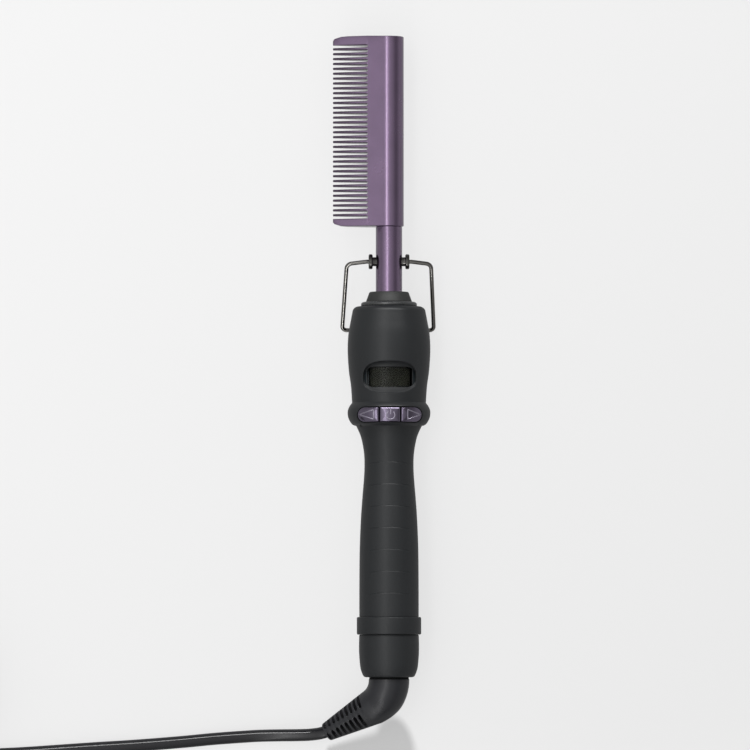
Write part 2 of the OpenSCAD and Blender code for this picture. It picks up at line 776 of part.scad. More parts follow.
module plug_body() color([0.1, 0.1, 0.11]) translate([plug_x, plug_from, plug_up]) {
    rotate([-90, 0, 0]) cylinder(h = 13, r1 = 4, r2 = 5.4, $fn = 48);
    translate([0, 12, 0]) rotate([-90, 0, 0]) linear_extrude(24) {
        square([12, 13.4], center = true);
        for (x = [-6, 6]) translate([x, 0]) circle(d = 13.4, $fn = 64);
    }
}

module plug_blades() color(BRASS) for (x = [-6.35, 6.35])
    translate([plug_x + x - 0.75, plug_from + 36, plug_up - 3.15]) cube([1.5, 16.5, 6.3]);

comb_head();
heater_core();
heater_clamps();
heater_film();
thermistor();
thermal_fuse();
head_pin();
neck_tube();
stand_studs();
stand_wire();
heat_collar();
collar_ring();
neck_clamp();
clamp_screws();
heater_leads();
front_shell();
back_shell();
shell_screws();
display_lens();
display_frame();
display_glass();
display_backlight();
circuit_board();
board_screws();
controller_chip();
triac();
film_capacitor();
bulk_capacitor();
tact_switches();
button_guide();
button_down();
button_power();
button_up();
plunger_down();
plunger_power();
plunger_up();
mains_leads();
end_band();
end_cap();
swivel_bush();
brush_holder();
contact_brushes();
swivel_rotor();
slip_rings();
cord_elbow();
cord_run();
cord_coil();
cord_lead();
cord_tie();
plug_body();
plug_blades();
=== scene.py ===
# Electric hot comb, lying on a table with its display up.
# Lengths are in millimetres until a mesh is written, and metres after that.
# A station is a distance along the handle from the bottom of the end cap towards the head;
# "up" is a height above the handle's axis, and x runs across it, with the teeth at -x.
import json
import math

import bmesh
import bpy
import numpy as np
from mathutils import Matrix, Vector

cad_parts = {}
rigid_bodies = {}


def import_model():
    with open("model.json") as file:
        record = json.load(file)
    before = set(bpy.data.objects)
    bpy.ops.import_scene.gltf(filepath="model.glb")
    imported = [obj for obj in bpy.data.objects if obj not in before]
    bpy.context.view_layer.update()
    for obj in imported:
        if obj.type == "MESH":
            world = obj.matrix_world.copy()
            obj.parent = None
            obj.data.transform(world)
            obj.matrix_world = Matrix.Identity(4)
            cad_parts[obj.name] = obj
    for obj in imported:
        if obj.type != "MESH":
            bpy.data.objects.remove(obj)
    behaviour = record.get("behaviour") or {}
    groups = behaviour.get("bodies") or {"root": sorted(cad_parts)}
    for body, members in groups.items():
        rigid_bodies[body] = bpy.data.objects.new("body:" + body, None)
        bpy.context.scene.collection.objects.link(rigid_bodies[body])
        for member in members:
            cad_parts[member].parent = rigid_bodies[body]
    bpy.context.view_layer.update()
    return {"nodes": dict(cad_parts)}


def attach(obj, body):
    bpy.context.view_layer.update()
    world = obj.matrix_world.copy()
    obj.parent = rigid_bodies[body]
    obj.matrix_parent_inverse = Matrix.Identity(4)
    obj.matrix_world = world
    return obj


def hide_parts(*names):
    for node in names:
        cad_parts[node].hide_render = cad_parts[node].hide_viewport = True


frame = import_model()
scene = bpy.context.scene

# ---- Camera ----
# A long lens straight above the handle, turned a little towards its tail and its left side,
# with the handle upright in the picture.
picture_width, camera_distance, sensor_width = 0.330, 3.0, 36
towards_tail, towards_left = math.radians(2.3), math.radians(1.4)
aim = Vector((-0.00446, -0.00817, 0.0182))


def added(name, data):
    """A new object in the scene."""
    obj = bpy.data.objects.new(name, data)
    scene.collection.objects.link(obj)
    return obj


camera = added("camera", bpy.data.cameras.new("camera"))
camera.data.sensor_width = sensor_width
camera.data.lens = sensor_width * camera_distance / picture_width
back = Vector((-math.tan(towards_left), -math.tan(towards_tail), 1)).normalized()
upright = (Vector((0, 1, 0)) - back * back.y).normalized()
camera.matrix_world = Matrix.Translation(aim + back * camera_distance) @ Matrix(
    (upright.cross(back), upright, back)).transposed().to_4x4()
scene.camera = camera

# ---- Mains cord ----
# A round two-core lead in glossy black PVC, extruded in one piece. It leaves the elbow, runs
# along the table and is wound into a neat coil in two layers, one inside the other.
mm = 0.001
cord_diameter, cord_length = 5.4, 1.8
coil_centre, coil_inner, coil_layers, coil_pitch = (-209.5, -150.8), 24.6, 6, 5.9
coil_crossing, coil_fall, coil_landing = 120, 1285, 125
run_route = [(-20.5, -162.5, 10.1), (-26.6, -165.3, 8), (-32, -166.3, 6.4), (-38.5, -166.6, 5),
             (-46.5, -166.7, 3.7), (-55, -166.9, 2.9), (-62, -167.3, 2.7), (-74.5, -168.2, 2.7),
             (-87, -169.4, 2.7), (-100, -170.5, 2.7), (-112.5, -171.4, 2.7),
             (-125.5, -172.2, 2.7), (-136, -172.9, 2.7), (-146, -173.6, 2.7),
             (-158, -174.4, 2.7), (-170, -175, 2.7), (-182, -175.3, 2.7), (-195, -175.4, 2.7)]
coil_entry = (-202, -175.4, 2.7)
lead_route = [(-239.5, -143, 2.7), (-239.6, -134, 2.7), (-239.9, -125, 3),
              (-240.3, -115.5, 4.1), (-240.7, -106, 5.6), (-240.9, -98, 6.6), (-241, -90, 6.8)]
cord_sides = range(0, 360, 18)


def eased(u):
    """A value from 0 to 1 with a soft start and a soft end."""
    u = min(max(u, 0.0), 1.0)
    return u * u * (3 - 2 * u)


def arc(radius, degrees, middle=(0, 0)):
    """Points of a circle at some angles."""
    return [(middle[0] + radius * math.cos(math.radians(a)),
             middle[1] + radius * math.sin(math.radians(a))) for a in degrees]


def wound_coil():
    """The coil's line: up the inner layer, across the top, down the outer layer to the table."""
    low, high = cord_diameter / 2, cord_diameter * (coil_layers - 0.5)
    top_from = 360 * (coil_layers - 1)
    fall_from = top_from + coil_crossing
    land_from = fall_from + coil_fall
    bottom = high - coil_pitch * coil_fall / 360
    points = []
    for turned_by in range(0, land_from + coil_landing + 1, 10):
        radius = coil_inner + cord_diameter * eased((turned_by - top_from) / coil_crossing)
        height = np.interp(turned_by, [0, top_from, fall_from, land_from],
                           [low, high, high, bottom])
        height += (low - bottom) * eased((turned_by - land_from) / coil_landing)
        points += [(x, y, height) for x, y in arc(radius, [-90 - turned_by], coil_centre)]
    return points


def smooth_line(keys, steps):
    """A Catmull-Rom line through key points, with steps between each two of them."""
    p = [np.array(q, float) for q in (keys[0], *keys, keys[-1])]
    out = [0.5 * (2 * b + (c - a) * u + (2 * a - 5 * b + 4 * c - d) * u**2
                  + (3 * b - a - 3 * c + d) * u**3)
           for a, b, c, d in zip(p, p[1:], p[2:], p[3:]) for u in np.arange(steps) / steps]
    return [tuple(q) for q in out + [p[-1]]]


def bridge(one, two):
    """Faces between two closed rings of point numbers."""
    return [(one[k - 1], one[k], two[k], two[k - 1]) for k in [*range(1, len(one)), 0]]


def stack(rings, start=True, end=True, around=False):
    """Joins rings of points, each as long as the next, and closes the first and the last, or
    joins the last to the first."""
    n = len(rings[0])
    points = [p for ring in rings for p in ring]
    numbers = [range(i * n, i * n + n) for i in range(len(rings))]
    faces = [f for one, two in zip(numbers, numbers[1:] + numbers[:around]) for f in
             bridge(one, two)]
    faces += [tuple(numbers[k]) for k, close in ((0, start), (-1, end)) if close and not around]
    return points, faces


def sweep(line, section, closed=False, start_up=(0, 0, 1)):
    """Carries a section of (across, up) along a line without twist."""
    line = [np.array(p, float) for p in line]
    rings, uv, up, run = [], [], np.array(start_up, float), 0.0
    for i, p in enumerate(line):
        before = line[i - 1] if closed or i else p
        after = line[(i + 1) % len(line)] if closed or i < len(line) - 1 else p
        d = (after - before) / np.linalg.norm(after - before)
        up = up - d * np.dot(up, d)
        up = up / np.linalg.norm(up)
        across = np.cross(d, up)
        run += np.linalg.norm(p - before) if i else 0
        rings.append([p + a * across + b * up for a, b in section])
        uv += [(run * mm, k / len(section)) for k in range(len(section))]
    return (*stack(rings, around=closed), uv)


def finish_mesh(mesh, sharp, merge):
    """Closes a mesh at its seams, turns its faces outwards and shades it smooth."""
    work = bmesh.new()
    work.from_mesh(mesh)
    if merge:
        bmesh.ops.remove_doubles(work, verts=work.verts, dist=2e-6)
    bmesh.ops.recalc_face_normals(work, faces=work.faces)
    work.to_mesh(mesh)
    work.free()
    mesh.shade_smooth()
    mesh.set_sharp_from_angle(angle=math.radians(sharp))


def shape(name, points, faces, uv=None, sharp=30):
    """A mesh object from points in the row frame. One with its own UV map has no seams."""
    mesh = bpy.data.meshes.new(name)
    mesh.from_pydata([tuple(float(c) * mm for c in p) for p in points], [], faces)
    if uv:
        layer = mesh.uv_layers.new(name="UVMap")
        for loop in mesh.loops:
            layer.data[loop.index].uv = uv[loop.vertex_index]
    finish_mesh(mesh, sharp, not uv)
    return added(name, mesh)


def dress(obj, material, body, slot, *nodes):
    """Gives a finished piece its material, its body and the CAD nodes that it stands for."""
    obj.data.materials.clear()
    obj.data.materials.append(material)
    if nodes:
        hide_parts(*nodes)
    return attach(obj, body)


def feed(node, inputs):
    """Gives a node's inputs their values, or the outputs of other nodes."""
    for name, value in inputs.items():
        if isinstance(value, bpy.types.Node):
            value = value.outputs[0]
        if isinstance(value, bpy.types.NodeSocket):
            node.id_data.links.new(value, node.inputs[name])
        else:
            node.inputs[name].default_value = value


def add(tree, kind, inputs=None, **settings):
    """A new node in a tree, with its settings and its inputs."""
    node = tree.nodes.new(kind)
    for name, value in settings.items():
        setattr(node, name, value)
    feed(node, inputs or {})
    return node


def tree_of(name, kind, inputs, outputs):
    """A node group, its input node's outputs, and the identifiers of its inputs by name."""
    tree = bpy.data.node_groups.new(name, kind + "NodeTree")
    for side, sockets in (("OUTPUT", outputs), ("INPUT", inputs)):
        made = {title: tree.interface.new_socket(title, in_out=side, socket_type="NodeSocket"
                                                 + value) for title, value in sockets.items()}
    return tree, add(tree, "NodeGroupInput").outputs, {t: s.identifier for t, s in made.items()}


def made_surface():
    """A shader group for any made surface: fine relief, single specks, and a slow mottle."""
    sizes = dict.fromkeys(("Grain Scale", "Mottle Scale", "Stretch"), "Float")
    results = dict.fromkeys(("Relief", "Speck", "Mottle"), "Float")
    tree, given, _ = tree_of("made_surface", "Shader", sizes, results)
    stretch = add(tree, "ShaderNodeCombineXYZ", {"X": 1, "Y": given["Stretch"], "Z": 1})
    where = add(tree, "ShaderNodeTexCoord").outputs["Object"]
    scaled = add(tree, "ShaderNodeVectorMath", {0: where, 1: stretch}, operation="MULTIPLY")
    relief, mottle = [add(tree, "ShaderNodeTexNoise", {"Vector": scaled, "Scale": given[scale],
                                                       "Detail": detail})
                      for scale, detail in (("Grain Scale", 3), ("Mottle Scale", 4))]
    cells = add(tree, "ShaderNodeTexVoronoi", {"Vector": scaled, "Scale": given["Grain Scale"]})
    speck = add(tree, "ShaderNodeSeparateColor", {"Color": cells.outputs["Color"]})
    add(tree, "NodeGroupOutput", {"Relief": relief, "Mottle": mottle, "Speck": speck})
    return tree


surface_group = made_surface()


def finish_of(name, colour, roughness, metallic=0.0, grain=3000, relief=0.02, mottle=60,
              tone=0.12, speck=0.0, gloss=0.05, stretch=1.0, **shader_inputs):
    """A material whose colour and gloss wander a little over a surface with fine relief. Any
    other value goes to the input of the shader with that name."""
    material = bpy.data.materials.new(name)
    material.use_nodes = True
    tree = material.node_tree
    surface = add(tree, "ShaderNodeGroup", {"Grain Scale": grain, "Mottle Scale": mottle,
                                            "Stretch": stretch}, node_tree=surface_group).outputs
    amount = add(tree, "ShaderNodeMath", {0: surface["Speck"], 1: speck, 2: surface["Mottle"]},
                 operation="MULTIPLY_ADD")
    blend = add(tree, "ShaderNodeMix", {"Factor": amount,
                                        "A": (*[c * (1 - tone) for c in colour], 1),
                                        "B": (*[min(c * (1 + tone), 1) for c in colour], 1)},
                data_type="RGBA")
    shift = add(tree, "ShaderNodeMapRange", {"Value": surface["Mottle"],
                                             "From Min": 0.3, "From Max": 0.7,
                                             "To Min": roughness - gloss,
                                             "To Max": roughness + gloss})
    bump = add(tree, "ShaderNodeBump", {"Height": surface["Relief"], "Distance": relief * mm})
    feed(tree.nodes["Principled BSDF"], {
        "Metallic": metallic, "Base Color": blend.outputs["Result"], "Roughness": shift,
        "Normal": bump, **{key.replace("_", " "): v for key, v in shader_inputs.items()}})
    return material


cord_pvc = finish_of("cord_pvc", (0.007, 0.007, 0.009), 0.17, grain=900, relief=0.015, mottle=40,
                     tone=0.2)
coil_line = wound_coil()
cord_line = (smooth_line(run_route, 3) + [coil_entry] + coil_line
             + smooth_line([coil_line[-1]] + lead_route, 3)[1:])
cord = shape("mains_cord", *sweep(cord_line, arc(cord_diameter / 2, cord_sides)), sharp=60)
dress(cord, cord_pvc, "swivel", "cord", "cord_run", "cord_coil", "cord_lead")

# ---- Plug ----
# A two-blade mains plug in black PVC, moulded onto the end of the cord, with a ribbed sleeve
# and a grip hollow on each side. The blades are nickel-plated brass.
plug_x, plug_y, plug_up = -241, -92, 6.8
plug_len, blade_half_gap = 36, 6.35
rib_pitch, rib_count = 2.4, 4
blade_len, blade_half, blade_middle, blade_points = 16.5, 3.15, 8.2, 40
hole_at, hole_r = 12.2, 1.55


def rounded_box(x0, x1, half, corner_left, corner_right, inset, straight=10, corner=8):
    """A closed line round a box from x0 to x1 and -half to half, moved inwards by an inset.
    Points of different insets belong together, and a full inset folds it onto its middle."""
    line = []
    for side, x_end, r in ((1, x1, corner_right), (-1, x0, corner_left)):
        r_in = max(r - inset, 0)
        x_c, y_c = side * x_end - inset - r_in, half - inset - r_in
        line += [(side * a, side * b) for q, start in ((-1, -90), (1, 0)) for a, b in
                 arc(r_in, np.linspace(start, start + 90, corner + 1), (x_c, q * y_c))]
    out = []
    for half_line, after in ((line[:len(line) // 2], line[len(line) // 2]),
                             (line[len(line) // 2:], line[0])):
        a, b = np.array(half_line[-1]), np.array(after)
        out += half_line + [tuple(a + (b - a) * k / straight) for k in range(1, straight)]
    return out


def plug_rings():
    """The ribbed sleeve, the body with its grip hollow, and the rounded edge of the face."""
    ribs = [(1.6 + s + rib_pitch * k, w + 0.3 * k, w + 0.3 * k) for k in range(rib_count)
            for s, w in ((0, 4.1), (0.2, 3.6), (1.2, 3.6), (1.4, 4.15))]
    body = [(11.6, 5.3, 5.3), (12.2, 8, 6), (13, 10.6, 6.4), (14.2, 12.2, 6.6),
            (15.6, 12.6, 6.7), (18, 12.4, 6.55), (22, 11.9, 6.25), (26, 11.9, 6.25),
            (30, 12.5, 6.6), (32, 12.7, 6.7), (35.1, 12.7, 6.7), (35.7, 12.5, 6.5),
            (plug_len, 12.0, 6.0)]
    return [[(plug_x + a, plug_y + s, plug_up + b)
             for a, b in rounded_box(-w, w, h, h, h, 0, 6)]
            for s, w, h in [(0, 3.6, 3.6), (0.15, 3.9, 3.9)] + ribs + body]


def plug_blade(x):
    """A flat blade with a rounded tip and a hole through it."""
    outline = rounded_box(0, blade_len, blade_half, 0.2, 2.6, 0)
    picks = [outline[round(k * len(outline) / blade_points)] for k in range(blade_points)]
    face = [(a + (blade_middle - a) * 0.03, b * 0.94) for a, b in picks]
    middle, hole = np.array((hole_at, 0)), []
    for p in picks:
        d = np.array(p) - middle
        hole.append(tuple(middle + hole_r * d / np.linalg.norm(d)))
    loops = ((0.55, picks), (0.75, face), (0.75, hole), (-0.75, hole), (-0.75, face),
             (-0.55, picks), (0.55, picks))
    return stack([[(plug_x + x + dx, plug_y + plug_len + a, plug_up + b) for a, b in line]
                  for dx, line in loops], False, False)


def joined(*parts):
    """Several sets of points and faces as one."""
    points, faces = [], []
    for part_points, part_faces in parts:
        faces += [tuple(i + len(points) for i in f) for f in part_faces]
        points += list(part_points)
    return points, faces


plug_pvc = finish_of("plug_pvc", (0.014, 0.014, 0.016), 0.38, grain=2500, relief=0.03)
blade_plate = finish_of("plated_blade", (0.62, 0.55, 0.38), 0.25, metallic=1.0, relief=0.004,
                        mottle=200, stretch=0.2)
plug = dress(shape("plug_moulding", *stack(plug_rings()), sharp=40), plug_pvc, "swivel",
             "dark_plastic", "plug_body")
blades = dress(shape("plug_pins", *joined(plug_blade(-blade_half_gap), plug_blade(blade_half_gap))),
               blade_plate, "swivel", "brass", "plug_blades")

# ---- Cord tie ----
# A hook-and-loop strap round one side of the coil. It is woven from black nylon, and its cut
# edges are sealed by heat.
tie_half, tie_thick, tie_edge, tie_corner_r, tie_low = 5, 0.7, 0.15, 2.4, 0.4


def tie_band():
    """The strap's line round the coil's section, from corner to corner."""
    inner = coil_centre[1] + coil_inner - (cord_diameter + tie_thick) / 2 + tie_corner_r
    outer = coil_centre[1] + coil_inner + (3 * cord_diameter + tie_thick) / 2 - tie_corner_r
    low, high = tie_low + tie_corner_r, coil_layers * cord_diameter + tie_thick / 2 - tie_corner_r
    return [(coil_centre[0], y, z)
            for corner, start in (((outer, low), -90), ((outer, high), 0), ((inner, high), 90),
                                  ((inner, low), 180))
            for y, z in arc(tie_corner_r, range(start, start + 91, 15), corner)]


nylon = finish_of("woven_nylon", (0.02, 0.02, 0.022), 0.75, grain=1600, relief=0.12, tone=0.3,
                  speck=0.4, stretch=2.5)
flat_w, flat_t = tie_half - tie_edge, tie_thick / 2 - tie_edge
strap_section = [(-tie_half, -flat_t), (-flat_w, -tie_thick / 2), (flat_w, -tie_thick / 2),
                 (tie_half, -flat_t), (tie_half, flat_t), (flat_w, tie_thick / 2),
                 (-flat_w, tie_thick / 2), (-tie_half, flat_t)]
tie = dress(shape("cord_strap", *sweep(tie_band(), strap_section, True), sharp=40), nylon,
            "swivel", "tie", "cord_tie")
[[c * mm for c in p] for p in cord_line]

# ---- Table and light ----
# A plain pale table under a wide bank of soft light: brightest a little left of overhead, dim
# low on the right, and lighter again near the table. Three lamps add what the bank leaves out.
floor_half = 3000
# Painted light falloff: the table's tone at its lit end and at its dim end.
table_lit_end_tone, table_dim_end_tone = 0.798, 0.64
glow_in_view, glow_in_gloss = 0.6, 0.1
table_grey, table_white = 0.18, 0.55
room_white = 0.92
bank_strength, bank_peak, along_peak = 12, 6, 2
bank_of_light = [(-180, 0.9), (-113, 0.9), (-95, 0.6), (-86, 0.42), (-66, 0.42), (-47, 0.66),
                 (-39, 0.8), (-30, 1.0), (-24, 1.35), (-19, 1.9), (-17, 5.5), (-15, 1.9),
                 (-10, 1.3), (-5, 0.88), (0, 0.74), (6, 0.6), (15, 0.56), (24, 0.48),
                 (33, 0.41), (42, 0.29), (52, 0.22), (62, 0.22), (72, 0.3), (80, 0.38),
                 (92, 0.48), (113, 0.7), (180, 0.8)]
bank_along = [(0.0, 0.8), (0.12, 0.95), (0.3, 1.0), (0.42, 1.0), (0.58, 1.0), (0.7, 0.85),
              (0.88, 0.4), (1.0, 0.3)]


def split(tree, coordinate):
    """The three parts of a texture coordinate."""
    where = add(tree, "ShaderNodeTexCoord").outputs[coordinate]
    return add(tree, "ShaderNodeSeparateXYZ", {"Vector": where}).outputs


def math_of(tree, operation, *values, **settings):
    """One step of arithmetic."""
    return add(tree, "ShaderNodeMath", dict(enumerate(values)), operation=operation, **settings)


def studio_table():
    """A pale surface that keeps shadows, and shows the camera its tone with a painted light
    falloff.
    """
    material = bpy.data.materials.new("pale_table")
    material.use_nodes = True
    tree = material.node_tree
    shader, path = tree.nodes["Principled BSDF"], add(tree, "ShaderNodeLightPath").outputs
    at = split(tree, "Object")
    # Painted light falloff: the tone that the camera sees is lighter towards the head's end and the
    # teeth's side of the table.
    tone = add(tree, "ShaderNodeMapRange", {
        "Value": math_of(tree, "SUBTRACT", at["Y"], at["X"]), "From Min": -0.3,
        "From Max": 0.3, "To Min": table_dim_end_tone, "To Max": table_lit_end_tone})
    plain = add(tree, "ShaderNodeEmission", {"Color": tone})
    pale = add(tree, "ShaderNodeMapRange", {"Value": path["Is Camera Ray"],
                                            "To Min": table_grey, "To Max": table_white})
    feed(shader, {"Roughness": 0.9, "Specular IOR Level": 0.1, "Base Color": pale})
    share = 0
    for ray, part in (("Is Camera Ray", glow_in_view), ("Is Glossy Ray", glow_in_gloss),
                      ("Is Transmission Ray", glow_in_view)):
        share = math_of(tree, "MULTIPLY_ADD", path[ray], part, share, use_clamp=True)
    both = add(tree, "ShaderNodeMixShader", {"Fac": share, 1: shader, 2: plain})
    feed(tree.nodes["Material Output"], {"Surface": both})
    return material


corners = [(-floor_half, -floor_half, 0), (floor_half, -floor_half, 0),
           (floor_half, floor_half, 0), (-floor_half, floor_half, 0)]
table = shape("table", corners, [(0, 1, 2, 3)])
table.data.materials.append(studio_table())


def ramp(tree, value, stops, peak):
    """Grey levels, each a share of a peak, that a value from 0 to 1 runs along."""
    made = add(tree, "ShaderNodeValToRGB", {"Fac": value})
    made.color_ramp.elements.remove(made.color_ramp.elements[-1])
    for k, (position, level) in enumerate(stops):
        stop = made.color_ramp.elements.new(position) if k else made.color_ramp.elements[0]
        stop.position, stop.color = position, (level / peak, level / peak, level / peak, 1)
    return made


def studio_room():
    """The bank of soft light, and a plain white room where the camera sees past the table."""
    world = bpy.data.worlds.new("studio")
    scene.world = world
    world.use_nodes = True
    tree = world.node_tree
    bank, towards = tree.nodes["Background"], split(tree, "Generated")
    across = math_of(tree, "ARCTAN2", towards["X"], towards["Z"])
    turn = add(tree, "ShaderNodeMapRange", {"Value": across, "From Min": -math.pi,
                                            "From Max": math.pi})
    shift = add(tree, "ShaderNodeMapRange", {"Value": towards["Y"], "From Min": -1})
    stops = [((angle + 180) / 360, level) for angle, level in bank_of_light]
    along = ramp(tree, shift, bank_along, along_peak)
    feed(bank, {"Color": ramp(tree, turn, stops, bank_peak),
                "Strength": math_of(tree, "MULTIPLY", along, bank_strength)})
    plain = add(tree, "ShaderNodeBackground", {"Color": (room_white, room_white, room_white, 1)})
    in_view = add(tree, "ShaderNodeLightPath").outputs["Is Camera Ray"]
    feed(tree.nodes["World Output"], {
        "Surface": add(tree, "ShaderNodeMixShader", {"Fac": in_view, 1: bank, 2: plain})})


def lamp(name, kind, energy, where, **sizes):
    """A lamp that faces the middle of the table."""
    made = added(name, bpy.data.lights.new(name, kind))
    made.data.energy = energy
    for key, value in sizes.items():
        setattr(made.data, key, value)
    made.location = where
    made.rotation_euler = Vector(where).to_track_quat("Z", "Y").to_euler()
    return made


studio_room()
table_lamp = lamp("lamp_on_the_table", "SUN", 8.5, (-0.085, 0.87, 0.49), angle=math.radians(7))
side_lamp = lamp("softbox_beyond_the_head", "AREA", 34, (0.08, 1.5, 1.4), shape="RECTANGLE",
                 size=2.4, size_y=0.3)
strip_lamp = lamp("strip_before_the_stand", "AREA", 5, (-0.25, -1.2, 0.95), shape="RECTANGLE",
                  size=0.16, size_y=0.6)
scene.view_settings.view_transform = "Standard"

# ---- Heater ----
# A flat alumina heater in polyimide film, pressed into the head's bore by two half-round bars,
# with a bead thermistor and a one-shot thermal fuse. White wires lead through the neck.
def paint(material, *names):
    """Gives carried-over CAD nodes their material."""
    for name in names:
        data = frame["nodes"][name].data
        data.materials.clear()
        data.materials.append(material)


paint(finish_of("alumina", (0.82, 0.8, 0.76), 0.55, grain=4000, relief=0.01), "heater_core")
paint(finish_of("polyimide_film", (0.62, 0.33, 0.06), 0.25, mottle=150), "heater_film")
paint(finish_of("mill_aluminium", (0.78, 0.78, 0.79), 0.35, metallic=1.0, relief=0.01,
                stretch=0.05), "heater_clamps")
paint(finish_of("white_leads", (0.74, 0.74, 0.7), 0.5, relief=0.01), "heater_leads",
      "mains_leads")
bright_steel = finish_of("bright_steel", (0.6, 0.6, 0.6), 0.3, metallic=1.0, relief=0.006)
paint(bright_steel, "thermal_fuse")
paint(finish_of("glass_bead", (0.45, 0.2, 0.07), 0.3, relief=0.01), "thermistor")

# ---- Toothed head ----
# One extruded aluminium bar with a round back, flat cheeks and a tapered edge, cross-drilled for
# the heater, with its teeth sawn and deburred, then coated in a purple metallic finish.
axis_x, axis_z, tail_y = 1.7, 18.2, -141.05
head_from, head_to = 198.3, 282.1
spine_r, tip_r = 6.5, 0.95
tooth_reach, root_reach = 24.7, 9.4
flat_up = 6.33
taper_from = root_reach + 0.6
gap_count, tooth_pitch, gap_w = 36, 2.155, 1.1
first_gap = 202.15
last_gap = first_gap + (gap_count - 1) * tooth_pitch
corner_reach, corner_len = 6, 1.8
tail_edge, far_edge = 0.4, 0.5
root_burr, tip_burr, tip_blunt, tip_narrow = 0.4, 0.5, 0.6, 0.05
socket_r, socket_to, bore_r, bore_to = 5.35, 206, 4.3, 276
taper_run = tooth_reach - tip_r - taper_from
lean = math.atan2(flat_up, taper_run) - math.asin(tip_r / math.hypot(flat_up, taper_run))
# Painted shade: the dark purple that the teeth's colour is mixed towards.
tooth_painted_shade_colour = (0.075, 0.043, 0.088, 1)


def place(x, station, up):
    """From the handle's own measures to the row frame."""
    return (axis_x + x, tail_y + station, axis_z + up)


def head_side():
    """The head's section from its back over its upper side to the tooth tips, as (x, up)."""
    crease = 180 - math.degrees(math.asin(flat_up / spine_r))
    spine = arc(spine_r, [crease * k / 14 for k in range(14)] + [crease - 1.6, crease])
    x_c = spine[-1][0]
    cheek = [(x, flat_up) for x in (x_c - 0.8, x_c - 2, -5.2, -7.6)]
    root = [(-root_reach - gap_w / 2 * (1 - math.cos(math.radians(a))), flat_up)
            for a in (0, 25, 50, 70, 90)]
    start, tip_x = np.array((-taper_from - 0.02, flat_up)), -tooth_reach + tip_r
    tangent = (tip_x - tip_r * math.sin(lean), tip_r * math.cos(lean))
    edge = [start + (np.array(tangent) - start) * u for u in (0, 0.02, 0.2, 0.4, 0.6, 0.8, 1)]
    tip = arc(tip_r, np.linspace(90 + math.degrees(lean), 180, 6)[1:], (tip_x, 0))
    return [np.array(p) for p in spine + cheek + root + edge + tip]


head_line = head_side()
head_normals = [np.array((1, 0))]
for before, after in zip(head_line, head_line[2:]):
    d = after - before
    head_normals.append(np.array((d[1], -d[0])) / np.linalg.norm(d))
head_normals.append(np.array((-1, 0)))


def gap_side(x):
    """How far the sawn wall is from the middle of the gap, or 0 behind the gap's round root."""
    into_root = min(max(-x - root_reach, 0), gap_w / 2)
    return math.sqrt((gap_w / 2)**2 - (gap_w / 2 - into_root)**2) if into_root > 1e-6 else 0.0


def quarter_round(size, steps=3):
    """How far a rounded edge is from its two faces, step by step from the first face."""
    return [(size * (1 - math.cos(a)), size * (1 - math.sin(a)))
            for a in np.linspace(0, math.pi / 2, steps + 1)]


def rounded_side(edge, inwards, size):
    """The stations and insets of a rounded edge, from its outside to the flat."""
    return [(edge + inwards * a, b) for a, b in quarter_round(size)]


def at_tip(x):
    """0 along a tooth, and up to 1 round its tip."""
    return eased((-x - tooth_reach + tip_r) / tip_r)


def deburr(x):
    """The rounding of a sawn edge: none at the gap's root, more along the tooth, and less again
    on its tip."""
    towards_tip = (-x - root_reach) / (tooth_reach - root_reach)
    size = root_burr + (tip_burr - root_burr) * towards_tip
    return size * (1 - tip_blunt * at_tip(x)) * eased((-x - root_reach) / (gap_w / 2))


def head_shell(sides, wall_start, wall_end):
    """Skins both sides of the head between the stations that sides(x) gives at each x."""
    rows = [sides(p[0]) for p in head_line]
    n, half = len(rows[0]), len(head_line) * len(rows[0])
    points, faces = [], []
    for way in (1, -1):
        for p, q, row in zip(head_line, head_normals, rows):
            for station, inset in row:
                c = p - q * inset
                points.append(place(c[0], station, way * c[1]))
    for i in range(len(head_line) - 1):
        for a in range(i * n, i * n + n - 1):
            b = a + n
            faces += [(a, b, b + 1, a + 1), (half + a, half + b, half + b + 1, half + a + 1)]
        sawn = head_line[i][0] < -root_reach + 1e-6
        for a, wall in ((i * n, wall_start), (i * n + n - 1, wall_end)):
            if wall == "end" or sawn:
                faces.append((a, a + n, half + a + n, half + a))
    return points, faces


def tooth_sides(x):
    """The stations and insets across one tooth, from gap to gap."""
    w = tooth_pitch / 2 - gap_side(x) - tip_narrow * at_tip(x)
    left = rounded_side(-w, 1, deburr(x))
    right = [(-s, inset) for s, inset in reversed(left)]
    return [(first_gap + tooth_pitch / 2 + s, inset) for s, inset in left + [(0, 0)] + right]


def end_corner(x):
    """How far a toothed corner is cut back from the head's end."""
    u = min(max((-x - tooth_reach + corner_reach) / corner_reach, 0), 1)
    return corner_len * (1 - math.sqrt(1 - u * u))


def tail_block(x):
    """The stations and insets of the plain end at the neck."""
    inner = rounded_side(first_gap - gap_side(x), -1, deburr(x))
    return rounded_side(head_from + end_corner(x), 1, tail_edge) + inner[::-1]


def far_block(x):
    """The stations and insets of the plain end beyond the last gap."""
    outer = rounded_side(head_to - end_corner(x), -1, far_edge)
    return rounded_side(last_gap + gap_side(x), 1, deburr(x)) + outer[::-1]


